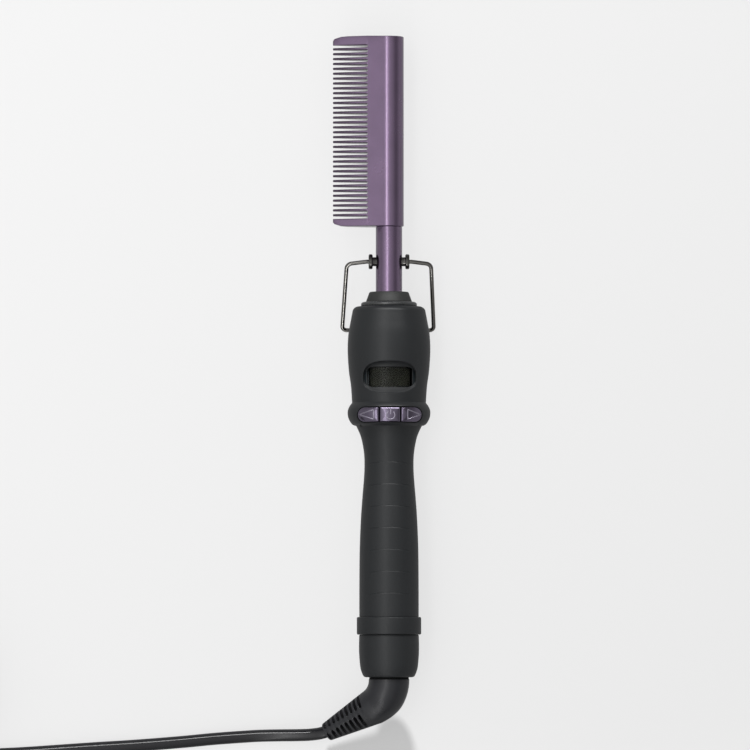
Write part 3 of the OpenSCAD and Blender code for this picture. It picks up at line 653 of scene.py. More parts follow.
def bored_end(points, faces, n):
    """Replaces the tail end's plain wall round the neck by an end face with the socket's bore."""
    half, arc_rows, below = len(head_line) * n, 15, 3
    faces = [f for f in faces if not (f[0] % n == 0 and f[0] < half and f[2] == f[1] + half
                                      and f[0] // n < arc_rows + below)]
    angles = [math.atan2(p[1], p[0]) for p in head_line[:arc_rows + 1]]
    angles += list(np.linspace(angles[-1], math.pi, 8)[1:])
    whole = angles + [-a for a in reversed(angles)][1:-1]
    size, first = len(whole), len(points)
    bore = [[place(r * math.cos(a), station, r * math.sin(a)) for a in whole]
            for station, r in ((head_from, socket_r), (socket_to, socket_r),
                               (socket_to, bore_r), (bore_to, bore_r))]
    points, faces = joined((points, faces), stack(bore, False))
    for i in range(arc_rows):
        faces += [(i * n, (i + 1) * n, first + i + 1, first + i),
                  (half + i * n, half + (i + 1) * n, first + (size - i - 1) % size,
                   first + (size - i) % size)]
    upper = [(arc_rows + k) * n for k in range(below + 1)]
    lower = [half + i for i in reversed(upper)]
    ring = list(range(first + size - arc_rows, first + arc_rows - 1, -1))
    return points, faces + [tuple(upper + lower + ring)]


def growing_tree(name, **inputs):
    """A Geometry Nodes tree with the inputs that every tree here has, and its own."""
    return tree_of(name, "Geometry", {"Geometry": "Geometry", "Material": "Material", **inputs},
                   {"Geometry": "Geometry"})


def end_tree(tree, given, geometry):
    """Ends a tree: its copies are made real and take the material."""
    real = add(tree, "GeometryNodeRealizeInstances", {"Geometry": geometry})
    made = add(tree, "GeometryNodeSetMaterial", {"Geometry": real, "Material": given["Material"]})
    add(tree, "NodeGroupOutput", {"Geometry": made})


def row_of_teeth():
    """A tree that sets copies of one tooth along the head and joins them to its two ends."""
    tree, given, identifiers = growing_tree("row_of_teeth", Count="Int", Pitch="Float",
                                            Ends="Object")
    step = add(tree, "ShaderNodeCombineXYZ", {"Y": given["Pitch"]})
    row = add(tree, "GeometryNodeMeshLine", {"Count": given["Count"], "Offset": step})
    copies = add(tree, "GeometryNodeInstanceOnPoints", {"Points": row,
                                                        "Instance": given["Geometry"]})
    real = add(tree, "GeometryNodeRealizeInstances", {"Geometry": copies})
    ends = add(tree, "GeometryNodeObjectInfo", {"Object": given["Ends"]}).outputs["Geometry"]
    both = add(tree, "GeometryNodeJoinGeometry", {"Geometry": real})
    feed(both, {"Geometry": ends})
    end_tree(tree, given, add(tree, "GeometryNodeMergeByDistance", {"Geometry": both,
                                                                    "Distance": 4e-6}))
    return tree, identifiers


def evaluated(obj, name):
    """The mesh of an object with its modifiers applied, in place of the object."""
    graph = bpy.context.evaluated_depsgraph_get()
    mesh = bpy.data.meshes.new_from_object(obj.evaluated_get(graph), depsgraph=graph)
    bpy.data.objects.remove(obj)
    mesh.name = name
    return mesh


def grown(obj, tree, inputs, name, sharp=30):
    """Runs a tree on an object and keeps the result as a plain mesh in a new object."""
    modifier = obj.modifiers.new("grow", "NODES")
    modifier.node_group, identifiers = tree
    for key, value in inputs.items():
        modifier[identifiers[key]] = value
    mesh = evaluated(obj, name)
    for used in [v for v in inputs.values() if isinstance(v, bpy.types.Object)]:
        bpy.data.objects.remove(used)
    finish_mesh(mesh, sharp, False)
    return added(name, mesh)


def painted_shade_on_teeth(material):
    """Painted shade on the teeth: colour mixed towards dark purple, most at the tips."""
    tree = material.node_tree
    shader, at = tree.nodes["Principled BSDF"], split(tree, "Object")
    middle = place(0, (first_gap + last_gap) / 2, 0)[1] * mm
    half = (last_gap - first_gap + gap_w) / 2 * mm
    from_middle = math_of(tree, "ABSOLUTE", math_of(tree, "SUBTRACT", at["Y"], middle))
    # Painted shade mask: 1 on the cheeks and the plain ends, falling to 0 towards the tooth tips.
    unshaded_share = math_of(tree, "MAXIMUM", *[
        add(tree, "ShaderNodeMapRange", {"Value": value, "From Min": low, "From Max": high},
            interpolation_type="SMOOTHSTEP")
        for value, low, high in ((from_middle, half - 0.1 * mm, half + 0.2 * mm),
                                 (at["X"], place(2 - tooth_reach, 0, 0)[0] * mm,
                                  place(-root_reach - 1, 0, 0)[0] * mm))])
    plain = shader.inputs["Base Color"].links[0].from_socket
    blend = add(tree, "ShaderNodeMix", {"Factor": unshaded_share, "A": tooth_painted_shade_colour, "B": plain},
                data_type="RGBA")
    feed(shader, {"Base Color": blend.outputs["Result"]})


coat = finish_of("purple_coat", (0.214, 0.141, 0.244), 0.25, metallic=1.0, grain=5200,
                 relief=0.004, mottle=90, tone=0.14, speck=0.5, gloss=0.03, Coat_Weight=1.0,
                 Coat_Roughness=0.04, Coat_IOR=1.6)
# Painted shade on the teeth, mixed into the coat's colour.
painted_shade_on_teeth(coat)
tail_end = bored_end(*head_shell(tail_block, "end", "gap"), len(tail_block(0)))
ends = shape("head_ends", *joined(tail_end, head_shell(far_block, "gap", "end")))
tooth = shape("head_tooth", *head_shell(tooth_sides, "gap", "gap"))
head = grown(tooth, row_of_teeth(), {"Count": gap_count - 1, "Pitch": tooth_pitch * mm,
                                     "Ends": ends, "Material": coat}, "toothed_head", 20)
dress(head, coat, "handle", "coat", "comb_head")

# ---- Neck tube ----
# A drawn steel tube, coated like the head but a little duller. It is pressed into the head's
# socket and pinned from below.
neck_r = 5.8


def eased_edges(line, size, steps=3):
    """A closed line of (station, radius) with a small round at every sharp corner."""
    out = []
    for i in range(len(line)):
        a, b, c = (np.array(line[j % len(line)], float) for j in (i - 1, i, i + 1))
        u, v = a - b, c - b
        long_u, long_v = np.linalg.norm(u), np.linalg.norm(v)
        angle = math.acos(max(-1, min(1, np.dot(u, v) / (long_u * long_v))))
        if angle > math.radians(150) or b[1] < 1e-6:
            out.append(tuple(b))
            continue
        cut = min(size / math.tan(angle / 2), 0.4 * long_u, 0.4 * long_v)
        start, stop = b + u / long_u * cut, b + v / long_v * cut
        out += [tuple((1 - s)**2 * start + 2 * s * (1 - s) * b + s * s * stop)
                for s in np.linspace(0, 1, steps + 1)]
    return out


def turned(line, sides=96, to_row=lambda s, a, b: place(a, s, b)):
    """A closed line of (station, radius) turned about the handle's axis, or another."""
    points, faces = stack([[to_row(s, r * math.sin(a), r * math.cos(a)) for s, r in line]
                           for a in np.arange(sides) * 2 * math.pi / sides], around=True)
    off_axis = [r > 1e-6 for s, r in line]
    return points, [f for f in faces if off_axis[f[0] % len(line)] or off_axis[f[1] % len(line)]]


def ringed(name, line, material, slot, *nodes, edge=0.25, steps=3, body="handle"):
    """A piece turned about the handle's axis, with its sharp edges rounded."""
    dress(shape(name, *turned(eased_edges(line, edge, steps) if edge else line)), material, body,
          slot, *nodes)


drawn_coat = coat.copy()
drawn_coat.name = "purple_coat_on_steel"
feed(drawn_coat.node_tree.nodes["Principled BSDF"], {"Coat Roughness": 0.16})
ringed("coated_neck", [(146, 4.9), (146, neck_r), (198.18, neck_r), (198.18, 5.3), (205.8, 5.3),
                       (205.8, 4.5), (196.3, 4.5), (195.3, 4.9)],
       drawn_coat, "coat", "neck_tube")
gunmetal = finish_of("gunmetal_plate", (0.2, 0.193, 0.182), 0.17, metallic=1.0, grain=2500,
                     relief=0.001, mottle=150, tone=0.1, gloss=0.02)
paint(gunmetal, "head_pin")

# ---- Studs of the stand ----
# Two turned steel rivets, blackened, set through the neck; each has a waist and a bored head
# that takes one end of the wire.
stud_at = 182.8
stud_line = [(2.4, 0), (2.4, 3.5), (4.2, 3.5), (4.2, 2), (7.2, 2), (7.2, 2.9), (7.5, 3.3),
             (8.6, 3.3), (8.95, 2.9), (8.95, 0.97), (5, 0.97), (5, 0)]
blackened = finish_of("blackened_steel", (0.1, 0.097, 0.092), 0.24, metallic=1.0, relief=0.01,
                      mottle=200, tone=0.15)
studs = [turned(eased_edges(stud_line, 0.15), 48,
                lambda s, a, b, way=way: place(way * s, stud_at + a, b)) for way in (1, -1)]
dress(shape("rivet_studs", *joined(*studs)), blackened, "handle", "gunmetal", "stand_studs")

# ---- Wire stand ----
# One length of spring wire, bent in a former and blackened; it folds flat under the neck and
# its crossbar clips into the nest below the housing.
crossbar_at, wire_r = 153.4, 0.9
stand_half = [(-5.3, 0, 0), (-9.9, 0, 3), (-18.55, -1.2, 2.6), (-20.3, -34.11, 1.9)]
stand_points = stand_half + [(-x, s, r) for x, s, r in reversed(stand_half)]
stand_fold = math.atan2(axis_z - wire_r, stud_at - crossbar_at)


def bent_line(corners, steps=10):
    """A line through corners of (x, length, radius), each cut by an arc of its own radius."""
    p = [np.array(q[:2], float) for q in corners]
    out = [p[0]]
    for before, corner, after, (_, _, radius) in zip(p, p[1:], p[2:], corners[1:]):
        u, v = before - corner, after - corner
        u, v = u / np.linalg.norm(u), v / np.linalg.norm(v)
        half = math.acos(np.dot(u, v)) / 2
        centre = corner + (u + v) / np.linalg.norm(u + v) * radius / math.sin(half)
        cut, turn = radius / math.tan(half), math.pi - 2 * half
        a, b = corner + u * cut - centre, corner + v * cut - centre
        out += [centre + (math.sin((1 - s) * turn) * a + math.sin(s * turn) * b) / math.sin(turn)
                for s in np.linspace(0, 1, steps + 1)]
    return out + [p[-1]]


wire_line = [place(x, stud_at + s * math.cos(stand_fold), s * math.sin(stand_fold))
             for x, s in bent_line(stand_points)]
wire = shape("bent_wire_stand", *sweep(wire_line, arc(wire_r, cord_sides), start_up=(0, 1, 0)),
             sharp=50)
dress(wire, gunmetal, "stand", "gunmetal", "stand_wire")

# ---- Collar ----
# A short cone of heat-proof nylon keeps the hot neck off the shell, and a flat ring below it
# covers the shoulder. Both are moulded and held by the rib where the half shells close.
heat_nylon = finish_of("heat_nylon", (0.022, 0.023, 0.022), 0.55, grain=1700, relief=0.09,
                       mottle=70, tone=0.2, speck=0.2)
ringed("heat_cone", [(152, 5.85), (152, 9.4), (158.1, 9.4), (158.1, 8.6), (159.9, 8.6),
                     (159.9, 9.4), (165, 9.4), (165, 10.2), (169, 8.75), (169.4, 8.4),
                     (169.4, 5.85)], heat_nylon, "heat_plastic", "heat_collar")
satin_black = finish_of("satin_black", (0.03, 0.032, 0.033), 0.25, grain=3500, relief=0.008,
                        tone=0.1, Specular_IOR_Level=0.9)
ringed("shoulder_ring", [(163.1, 9.5), (163.1, 12), (163.4, 12.3), (164.3, 12.3), (164.8, 11.8),
                         (164.95, 11.4), (164.95, 9.5)], satin_black, "soft_black", "collar_ring")
paint(bright_steel, "neck_clamp", "clamp_screws")

# ---- Half shells ----
# Two halves moulded in soft-touch black nylon, parted along the handle's sides. The front has
# the display's recess and the buttons' opening, the back the screws and the nest of the stand.
belly_r, wall, parting_groove = 18.2, 1.9, 0.12
grip_keys = [(26.5, 13.05), (38, 13.05), (56, 12.9), (69, 12.4), (78, 11.8), (87, 11.05),
             (92.5, 10.8), (98, 10.95), (103.4, 11.8), (107, 12.85), (110.5, 14.5)]
bead_keys = [(110.5, 14.5), (110.65, 15.3), (111.1, 16.15), (112.2, 17.05), (114, 17.9),
             (115.8, belly_r), (117.5, 18.05), (119.2, 17.3), (120.6, 16.25)]
housing_keys = [(120.6, 16.25), (128, 16.75), (135, 17.7), (143.9, belly_r), (151, 17.85),
                (156.2, 16.95), (160.4, 16.15)]
groove_places = [36.8 + 9.58 * k for k in range(7)]
groove_half, groove_deep = 9.6, 0.12
grooved_from, grooved_to = 30, 100
lean_from, lean_to, groove_slope = 26.5, 98, math.tan(math.radians(12.3))
display_at, floor_r, under_floor_r = 131.5, 15.7, 14.6
recess_half_x, recess_half_s, opening_half_x, opening_half_s = 11.65, 6.85, 9.8, 4.45
buttons_at, button_half_len = 115, 3.15
screw_places = [(12, 142, 9.5), (-12, 142, 9.5), (0, 70.3, 7.5), (0, 31.6, 8.5)]
counterbore_r, thread_r, post_r, post_up = 2.6, 1.3, 3.2, 0.2
nest_r, nest_up = 1.2, 17.3
shoulder_r, shoulder_at = 2.6, 160.4
side_columns = [-90, -89.6] + [2.5 * k for k in range(-35, 36)] + [89.6, 90]

outline_s, outline_r = np.array([
    p for keys, steps in ((grip_keys, 6), (bead_keys, 4), (housing_keys, 6))
    for p in smooth_line(keys, steps)[:-1]] + housing_keys[-1:]).T


def shell_r(station):
    """The radius of the shell's outside."""
    return float(np.interp(station, outline_s, outline_r))


def leaned(station, r, angle):
    """Sinks the stations at the sides of the grip, so that its rows follow the leaning grooves."""
    amount = eased((station - lean_from) / 6.5) * (1 - eased((station - lean_to) / 6))
    return station - amount * r * (1 - math.cos(math.radians(angle))) * groove_slope


def groove_at(station, x):
    """The depth of the nearest groove: a steep wall at the head's side, a gentle one below."""
    off = min((station - g for g in groove_places), key=abs)
    sides = eased((groove_half - abs(x)) / 1.5)
    return groove_deep * sides * float(np.interp(off, [0, 0.3, 0.34], [0, 1, 0]))


def shell_rows(extra):
    """Matching rows of the outer and the inner skin, as (station, radius)."""
    stations = {round(float(s), 3) for s in outline_s[(outline_s > 27.6) & (outline_s < 158)]}
    for g in groove_places:
        stations = {s for s in stations if abs(s - g) > 0.75}
        stations |= {round(g + d, 3) for d in (-0.6, -0.04, 0.04, 0.26, 0.3, 0.34, 0.4, 0.7)}
    for s in extra:
        stations = {q for q in stations if abs(q - s) > 0.25} | {s}
    stations = sorted(stations)
    outer = [(19, 12.4), (26.4, 12.4), (26.45, 12.9), (26.55, 13.05)]
    outer += [(s, shell_r(s)) for s in stations + [158.2, 159, 159.7]]
    outer += arc(shoulder_r, range(90, -1, -15), (shoulder_at, shell_r(shoulder_at) - shoulder_r))
    inner = [(19, 10.7), (26, 10.7), (26.4, 10.7), (27.3, 10.8)]
    inner += [(s, shell_r(s) - wall) for s in stations + [158.2]]
    inner += [(158.2, 8.7), (159, 8.7), (159.8, 8.7), (159.8, 9.1)]
    inner += [(s, 9.5) for s in (159.8, 160.6, 161.4, 162.2, 163)]
    return outer, inner


def plan_outline(half_x, half_s, r, middle=(0, 0)):
    """A rounded box in plan, as four runs that meet at the middles of its corners."""
    corners = [(-1, -1), (1, -1), (1, 1), (-1, 1)]
    return [np.array([p for half, (x, s) in enumerate((corners[k], corners[(k + 1) % 4]))
                      for p in arc(r, 225 + 90 * k + 45 * half + 5 * np.arange(10),
                                   (middle[0] + x * (half_x - r), middle[1] + s * (half_s - r)))])
            for k in range(4)]


def fuller_outline(half_x, half_s, power, middle):
    """An oval with full corners in plan, in the same four runs."""
    def full(v):
        return math.copysign(abs(v)**(2 / power), v)
    return [np.array([(middle[0] + half_x * full(x), middle[1] + half_s * full(s))
                      for x, s in arc(1, 225 + 90 * k + 3 * np.arange(31))]) for k in range(4)]


def shares_of(line):
    """How far along a line each of its points is, from 0 to 1."""
    length = np.concatenate(([0], np.cumsum(np.linalg.norm(np.diff(line, axis=0), axis=1))))
    return length / length[-1]


def spread(runs, shares):
    """Points on the four runs of an outline at given shares of each run's length."""
    return np.array([[np.interp(u, shares_of(run), run[:, c]) for c in (0, 1)]
                     for run, share in zip(runs, shares) for u in share])


def skin_up(depth):
    """The height above the axis of a skin of the shell at a depth below its outside."""
    return lambda x, s: math.sqrt(max((shell_r(s) - depth)**2 - x * x, 0))


def lip(outline, size, up):
    """The rings of a rounded edge round an opening, for outline(offset)."""
    return [(outline(out), lambda x, s, drop=drop: up(x, s) - drop)
            for drop, out in quarter_round(size)]


def half_shell(way, extra, cuts):
    """One half of the handle. A cut is (angles, stations, rings from the outside inwards)."""
    outer, inner = shell_rows(extra)
    n, rows = len(side_columns), len(outer)
    under = rows * n
    points, faces = [], []
    for skin, line in enumerate((outer, inner)):
        for s, r in line:
            for angle in side_columns:
                a = math.radians(angle)
                at = leaned(s, r, angle)
                r_here = r if at == s else shell_r(at) - skin * wall
                if skin == 0 and grooved_from < s < grooved_to:
                    r_here -= groove_at(s, r_here * math.sin(a))
                if skin == 0 and abs(angle) == 90:
                    r_here -= parting_groove
                x, up = r_here * math.sin(a), r_here * math.cos(a)
                if way < 0 and skin == 0 and abs(s - crossbar_at) < nest_r + 0.001:
                    arch = math.sqrt(max(nest_r**2 - (s - crossbar_at)**2, 0))
                    up = min(up, nest_up - arch)
                points.append((x, at, up))
    gone = set()
    for angles, stations, rings in cuts:
        j0, j1 = [min(range(n), key=lambda j: abs(side_columns[j] - a)) for a in angles]
        i0, i1 = [min(range(rows), key=lambda i: abs(outer[i][0] - s)) for s in stations]
        gone |= {i * n + j for i in range(i0, i1) for j in range(j0, j1)}
        runs = [[i0 * n + j for j in range(j0, j1)], [i * n + j1 for i in range(i0, i1)],
                [i1 * n + j for j in range(j1, j0, -1)], [i * n + j0 for i in range(i1, i0, -1)]]
        rim = [k for run in runs for k in run]
        outside, inside = [np.array([points[k + skin][:2] for k in rim]) for skin in (0, under)]
        shares = [shares_of([points[k][:2] for k in (*run, after[0])])[:-1]
                  for run, after in zip(runs, runs[1:] + runs[:1])]
        chain = [(spread(outline, shares), up) for outline, up in rings]
        first, last = chain[0][0], chain[-1][0]
        before = [(outside + (first - outside) * u, skin_up(0)) for u in (0.3, 0.6, 0.85)]
        previous = rim
        for plan_ring, up in before + chain + [((last + inside) / 2, skin_up(wall))]:
            ring = range(len(points), len(points) + len(rim))
            points += [(x, s, up(x, s)) for x, s in plan_ring]
            faces += bridge(previous, ring)
            previous = ring
        faces += bridge(previous, [under + k for k in rim])
    for i in range(rows - 1):
        for a in range(i * n, i * n + n - 1):
            if a not in gone:
                b = under + a
                faces += [(a, a + 1, a + n + 1, a + n), (b, b + n, b + n + 1, b + 1)]
        faces += [(a, a + n, under + a + n, under + a) for a in (i * n, i * n + n - 1)]
    faces += [(a, a + 1, under + a + 1, under + a) for i in (0, rows - 1)
              for a in range(i * n, i * n + n - 1)]
    used = sorted({k for f in faces for k in f})
    number = {k: m for m, k in enumerate(used)}
    return ([place(points[k][0], points[k][1], way * points[k][2]) for k in used],
            [tuple(number[k] for k in f) for f in faces])


def button_rings():
    """The long oval opening for the buttons."""
    def outline(offset):
        r = button_half_len + 0.3 + offset
        return plan_outline(14.3 + offset, r, r - 0.001, (0, buttons_at))
    return lip(outline, 0.35, skin_up(0)) + [(outline(0), skin_up(1.2)),
                                             (outline(0), skin_up(wall))]


def display_rings():
    """The recess, its floor, the window's opening in that floor and the pocket behind it."""
    middle = (0, display_at)

    def floor(x, s):
        return math.sqrt(floor_r**2 - x * x)

    def under_floor(x, s):
        return math.sqrt(under_floor_r**2 - x * x)

    def window(offset):
        return plan_outline(opening_half_x + offset, opening_half_s + offset, 0.35 + offset,
                            middle)

    rings = lip(lambda out: fuller_outline(recess_half_x + out, recess_half_s + out, 2.8,
                                           middle), 0.45, skin_up(0))
    rings += [(fuller_outline(11.45, 6.1, 2.9, middle),
               lambda x, s: 0.5 * (skin_up(0.45)(x, s) + floor(x, s))),
              (fuller_outline(11.3, 5.25, 3.1, middle), lambda x, s: floor(x, s) + 0.12),
              (fuller_outline(11.15, 4.95, 3.3, middle), floor)]
    return rings + lip(window, 0.2, floor) + [
        (window(0), under_floor), (plan_outline(11.3, 6.2, 0.4, middle), under_floor),
        (plan_outline(11.4, 6.3, 0.4, middle), skin_up(wall))]


def screw_rings(x, s, seat):
    """A counterbore, its seat, the screw's bore and the post round it on the inside."""
    def circle(r):
        return plan_outline(r, r, r - 0.001, (x, s))
    return lip(lambda out: circle(counterbore_r + out), 0.25, skin_up(0)) + [
        (circle(r), lambda a, b, up=up: up) for r, up in (
            (counterbore_r, seat), (thread_r, seat), (thread_r, post_up), (post_r, post_up))
    ] + [(circle(post_r), skin_up(wall))]


soft_black = finish_of("soft_touch_black", (0.0165, 0.018, 0.0195), 0.42, grain=4200,
                       relief=0.012, mottle=35, tone=0.1, gloss=0.04, Specular_IOR_Level=0.36)
front_cuts = [((-62.5, 62.5), (109.6, 120.2), button_rings()),
              ((-50, 50), (123.4, 139.4), display_rings())]
back_cuts = [(angles, stations, screw_rings(*screw)) for angles, stations, screw in zip(
    [(25, 60), (-60, -25), (-17.5, 17.5), (-17.5, 17.5)],
    [(138, 146), (138, 146), (66.4, 74.3), (27.7, 35.6)], screw_places)]
nest_rows = [crossbar_at] + [crossbar_at + side * d for side in (-1, 1)
                             for d in (1.25, 1.199, 1.1, 0.8, 0.4)]
for name, way, cuts, rows, node in (
        ("front_half_shell", 1, front_cuts, [109.6, 120.2, 123.4, 139.4], "front_shell"),
        ("back_half_shell", -1, back_cuts, [27.7, 35.6, 66.4, 74.3, 138, 146] + nest_rows,
         "back_shell")):
    dress(shape(name, *half_shell(way, rows, cuts)), soft_black, "handle", "soft_black", node)

# ---- Buttons ----
# Three separate caps in the head's purple finish, split out of one long oval, each with a raised
# sign: less, on and off, more. A round stem under each presses its switch.
buttons_half, power_half, split_w, stem_x = 14, 4.7, 0.5, 8.2
side_bottom, power_bottom, small_corner = 9.4, 12.6, 0.15
power_x, power_s, power_r, bar_to = 0.3, 114.7, 1.8, 117.3


def button_up_at(x, s):
    """The height of the buttons' domed surface."""
    return math.sqrt((shell_r(s) + 0.1)**2 - x * x)


def button_cap(x0, x1, corner_left, corner_right, bottom):
    """A solid cap: its flat underside, its side, its rounded edge and its domed top."""
    rings = []
    for inset, drop in ([(0, None)] + quarter_round(0.3)
                        + [(d, 0) for d in (0.6, 1.1, 1.7, 2.3, 2.8, button_half_len)]):
        ring = [(x, buttons_at + d) for x, d in
                rounded_box(x0, x1, button_half_len, corner_left, corner_right, inset, 14)]
        rings.append([place(x, s, bottom if drop is None else button_up_at(x, s) - drop)
                      for x, s in ring])
    return stack(rings, True, False)


def button_stem(x, top):
    """A round stem with a wider foot, up to the underside of its cap."""
    line = [(5.6, 0), (5.6, 2.3), (6.5, 2.3), (6.5, 1.6), (top - 0.01, 1.6), (top - 0.01, 0)]
    return turned(line, 32, lambda s, a, b: place(x + a, buttons_at + b, s))


def sign_ridge(line, closed, half=0.27, high=0.2):
    """A low rounded ridge along a line of (x, station) on the buttons' surface."""
    section = [(half * x, high * y) for x, y in arc(1, range(0, 181, 30))]
    section += [(-half, -0.15), (half, -0.15)]
    return sweep([place(x, s, button_up_at(x, s) - 0.02) for x, s in line], section, closed)[:2]


def straights(corners, step=0.5):
    """Points every half millimetre along straight runs, close together at the corners."""
    out = []
    for a, b in zip(corners, corners[1:]):
        pieces = max(2, round(math.dist(a, b) / step))
        out += [tuple(np.array(a) + (np.array(b) - a) * i / pieces) for i in range(pieces)]
    return out


def triangle(tip, x, low, high):
    """A closed outline from a tip over its two other corners."""
    return sign_ridge(straights([(tip, buttons_at), (x, low), (x, high), (tip, buttons_at)]), True)


power_bar = straights([(power_x, buttons_at), (power_x, bar_to)]) + [(power_x, bar_to)]
sign_power = joined(sign_ridge(arc(power_r, range(130, 411, 10), (power_x, power_s)), False),
                    sign_ridge(power_bar, False))
cap_edge = power_half - split_w / 2
side_edge = power_half + split_w / 2
button_purple = finish_of("button_purple", (0.2, 0.172, 0.238), 0.2, metallic=1.0, grain=2600,
                          relief=0.012, mottle=120, speck=0.1)
# Painted highlight: the signs are lighter than the caps, standing in for highlights along their
# raised edges; the ridges also catch real highlights.
sign_painted_highlight = finish_of("polished_sign", (0.4, 0.37, 0.45), 0.42, metallic=1.0, relief=0.002,
                        mottle=300)
for name, cap, stem, sign, key in (
        ("less", (-buttons_half, -side_edge, button_half_len, small_corner, side_bottom),
         (-stem_x, side_bottom), triangle(-13.4, -7.3, 117.1, 112.9), "down"),
        ("power", (-cap_edge, cap_edge, small_corner, small_corner, power_bottom),
         (0, power_bottom), sign_power, "power"),
        ("more", (side_edge, buttons_half, small_corner, button_half_len, side_bottom),
         (stem_x, side_bottom), triangle(13.5, 7.8, 112.9, 117.1), "up")):
    made = shape(name + "_button", *joined(button_cap(*cap), button_stem(*stem)))
    dress(made, button_purple, "key_" + key, "key", "button_" + key)
    dress(shape(name + "_sign", *sign), sign_painted_highlight, "key_" + key, "key")

# ---- Display ----
# A tinted clear window with a curved face in the recess, over a shade, a liquid crystal glass
# and its lit block. The ends of the recess are lined with a glossy black film.
window_r, window_half_x, window_half_s = 15.3, 9.7, 4.35
flange_half_x, flange_half_s, flange_r, flange_top_r = 10.8, 5.7, 13.4, 14.5
liner_x, liner_half_s, liner_inner_x = 11.2, 4.9, 10.02
tinted = finish_of("tinted_window", (0.62, 0.63, 0.58), 0.22, grain=800, relief=0.0002,
                   gloss=0.01, Transmission_Weight=1, Specular_IOR_Level=0.05, IOR=1.22)


def window_rings():
    """The back of the window, its flange and its curved face."""
    flange, face = (flange_half_x, flange_half_s), (window_half_x, window_half_s)
    rows = [(*flange, inset, flange_r, 0) for inset in (flange_half_s, 4, 2, 0.5, 0)]
    rows += [(*flange, 0, flange_top_r, 0), (*face, 0, flange_top_r, 0)]
    rows += [(*face, inset, window_r, drop) for inset, drop in quarter_round(0.2)]
    rows += [(*face, inset, window_r, 0) for inset in (0.8, 1.8, 2.9, 3.8, window_half_s)]
    return [[place(x, display_at + d, math.sqrt(r * r - x * x) - drop) for x, d in
             rounded_box(-half_x, half_x, half_s, 0.3, 0.3, inset, 16, 3)]
            for half_x, half_s, inset, r, drop in rows]


def recess_liner(way):
    """A film on the floor of the recess, between the window and the recess's round end."""
    rings = []
    for r, inset in ((15.62, 0), (15.76, 0), (15.79, 0.06), (15.79, 0.3), (15.79, 0.6)):
        half = liner_half_s - inset
        ring = []
        for s in half * np.cos(np.linspace(0, math.pi, 33)):
            ring.append((liner_x * (1 - (abs(s) / 6.2)**3.2)**(1 / 3.2) - inset, s))
        ring += [(liner_inner_x + inset, s) for s in np.linspace(-half, half, 17)]
        rings.append([place(way * x, display_at + s, math.sqrt(r * r - x * x)) for x, s in ring])
    return stack(rings)


dress(shape("display_window", *stack(window_rings(), False, False)), tinted, "handle", "lens",
      "display_lens")
film = finish_of("glossy_black_film", (0.014, 0.018, 0.02), 0.2, relief=0.002)
dress(shape("recess_liners", *joined(recess_liner(1), recess_liner(-1))), film, "handle", "lens")
paint(finish_of("matt_black_shade", (0.02, 0.02, 0.02), 0.6, grain=2500), "display_frame",
      "button_guide", "tact_switches")
paint(finish_of("unlit_crystal", (0.038, 0.04, 0.031), 0.3, relief=0.002,
                Specular_IOR_Level=0.1), "display_glass")
paint(finish_of("milky_diffuser", (0.7, 0.7, 0.66), 0.5, relief=0.004), "display_backlight",
      "plunger_down", "plunger_power", "plunger_up")

# ---- Circuit board ----
# A glass-epoxy board on three posts, with the triac, two capacitors, the controller and three
# push switches soldered on. Small steel screws fix it.
paint(finish_of("green_solder_mask", (0.02, 0.12, 0.05), 0.35, mottle=200, speck=0.1),
      "circuit_board")
paint(finish_of("blue_epoxy", (0.04, 0.12, 0.35), 0.3, relief=0.008), "film_capacitor")
paint(finish_of("epoxy_package", (0.022, 0.022, 0.024), 0.55, grain=5000, relief=0.01),
      "controller_chip", "triac", "bulk_capacitor")
paint(bright_steel, "board_screws")

# ---- Shell screws ----
# Four steel screws with pan heads and cross recesses hold the half shells together. They are
# driven in from the back, and each stops at its own angle.
screw_head_high, recess_half, recess_half_w, recess_floor = 1.7, 1.25, 0.28, 0.8
screw_seed = 3


def screw_pattern():
    """One screw on its own, head down, with its seat at the origin."""
    line = [(-screw_head_high, 0), (-screw_head_high, 1.7), (-1.35, 2.15), (-0.7, 2.4), (0, 2.4),
            (0, 1.1), (11.2, 1.1), (11.4, 0.9), (11.4, 0)]
    blank = shape("screw_blank", *turned(line, 32, lambda s, a, b: (a, b, s)))
    w = recess_half_w
    bar = [[(-k, -w, z), (k, -w, z), (k, w, z), (-k, w, z)] for z, k in
           ((-screw_head_high - 0.02, recess_half), (-recess_floor, 0.55 * recess_half))]
    crossed = [[(y, x, z) for x, y, z in ring] for ring in bar]
    tool = shape("cross_tool", *joined(stack(bar), stack(crossed)))
    cut = blank.modifiers.new("recess", "BOOLEAN")
    cut.object, cut.operation, cut.solver, cut.use_self = tool, "DIFFERENCE", "EXACT", True
    pattern = added("screw_pattern", evaluated(blank, "screw_pattern"))
    bpy.data.objects.remove(tool)
    return pattern


def driven_screws():
    """A tree that stands a copy of a screw on every point, each turned as it was driven."""
    tree, given, identifiers = growing_tree("driven_screws", Screw="Object", Seed="Int")
    screw = add(tree, "GeometryNodeObjectInfo", {"Object": given["Screw"]}).outputs["Geometry"]
    turn = add(tree, "FunctionNodeRandomValue", {3: math.pi, "Seed": given["Seed"]},
               data_type="FLOAT")
    rotation = add(tree, "ShaderNodeCombineXYZ", {"Z": turn.outputs[1]})
    end_tree(tree, given, add(tree, "GeometryNodeInstanceOnPoints", {
        "Points": given["Geometry"], "Instance": screw, "Rotation": rotation}))
    return tree, identifiers


spots = shape("screw_spots", [place(x, s, -up) for x, s, up in screw_places], [])
screws = grown(spots, driven_screws(), {"Screw": screw_pattern(), "Seed": screw_seed,
                                        "Material": bright_steel}, "shell_screw_set")
dress(screws, bright_steel, "handle", "steel", "shell_screws")

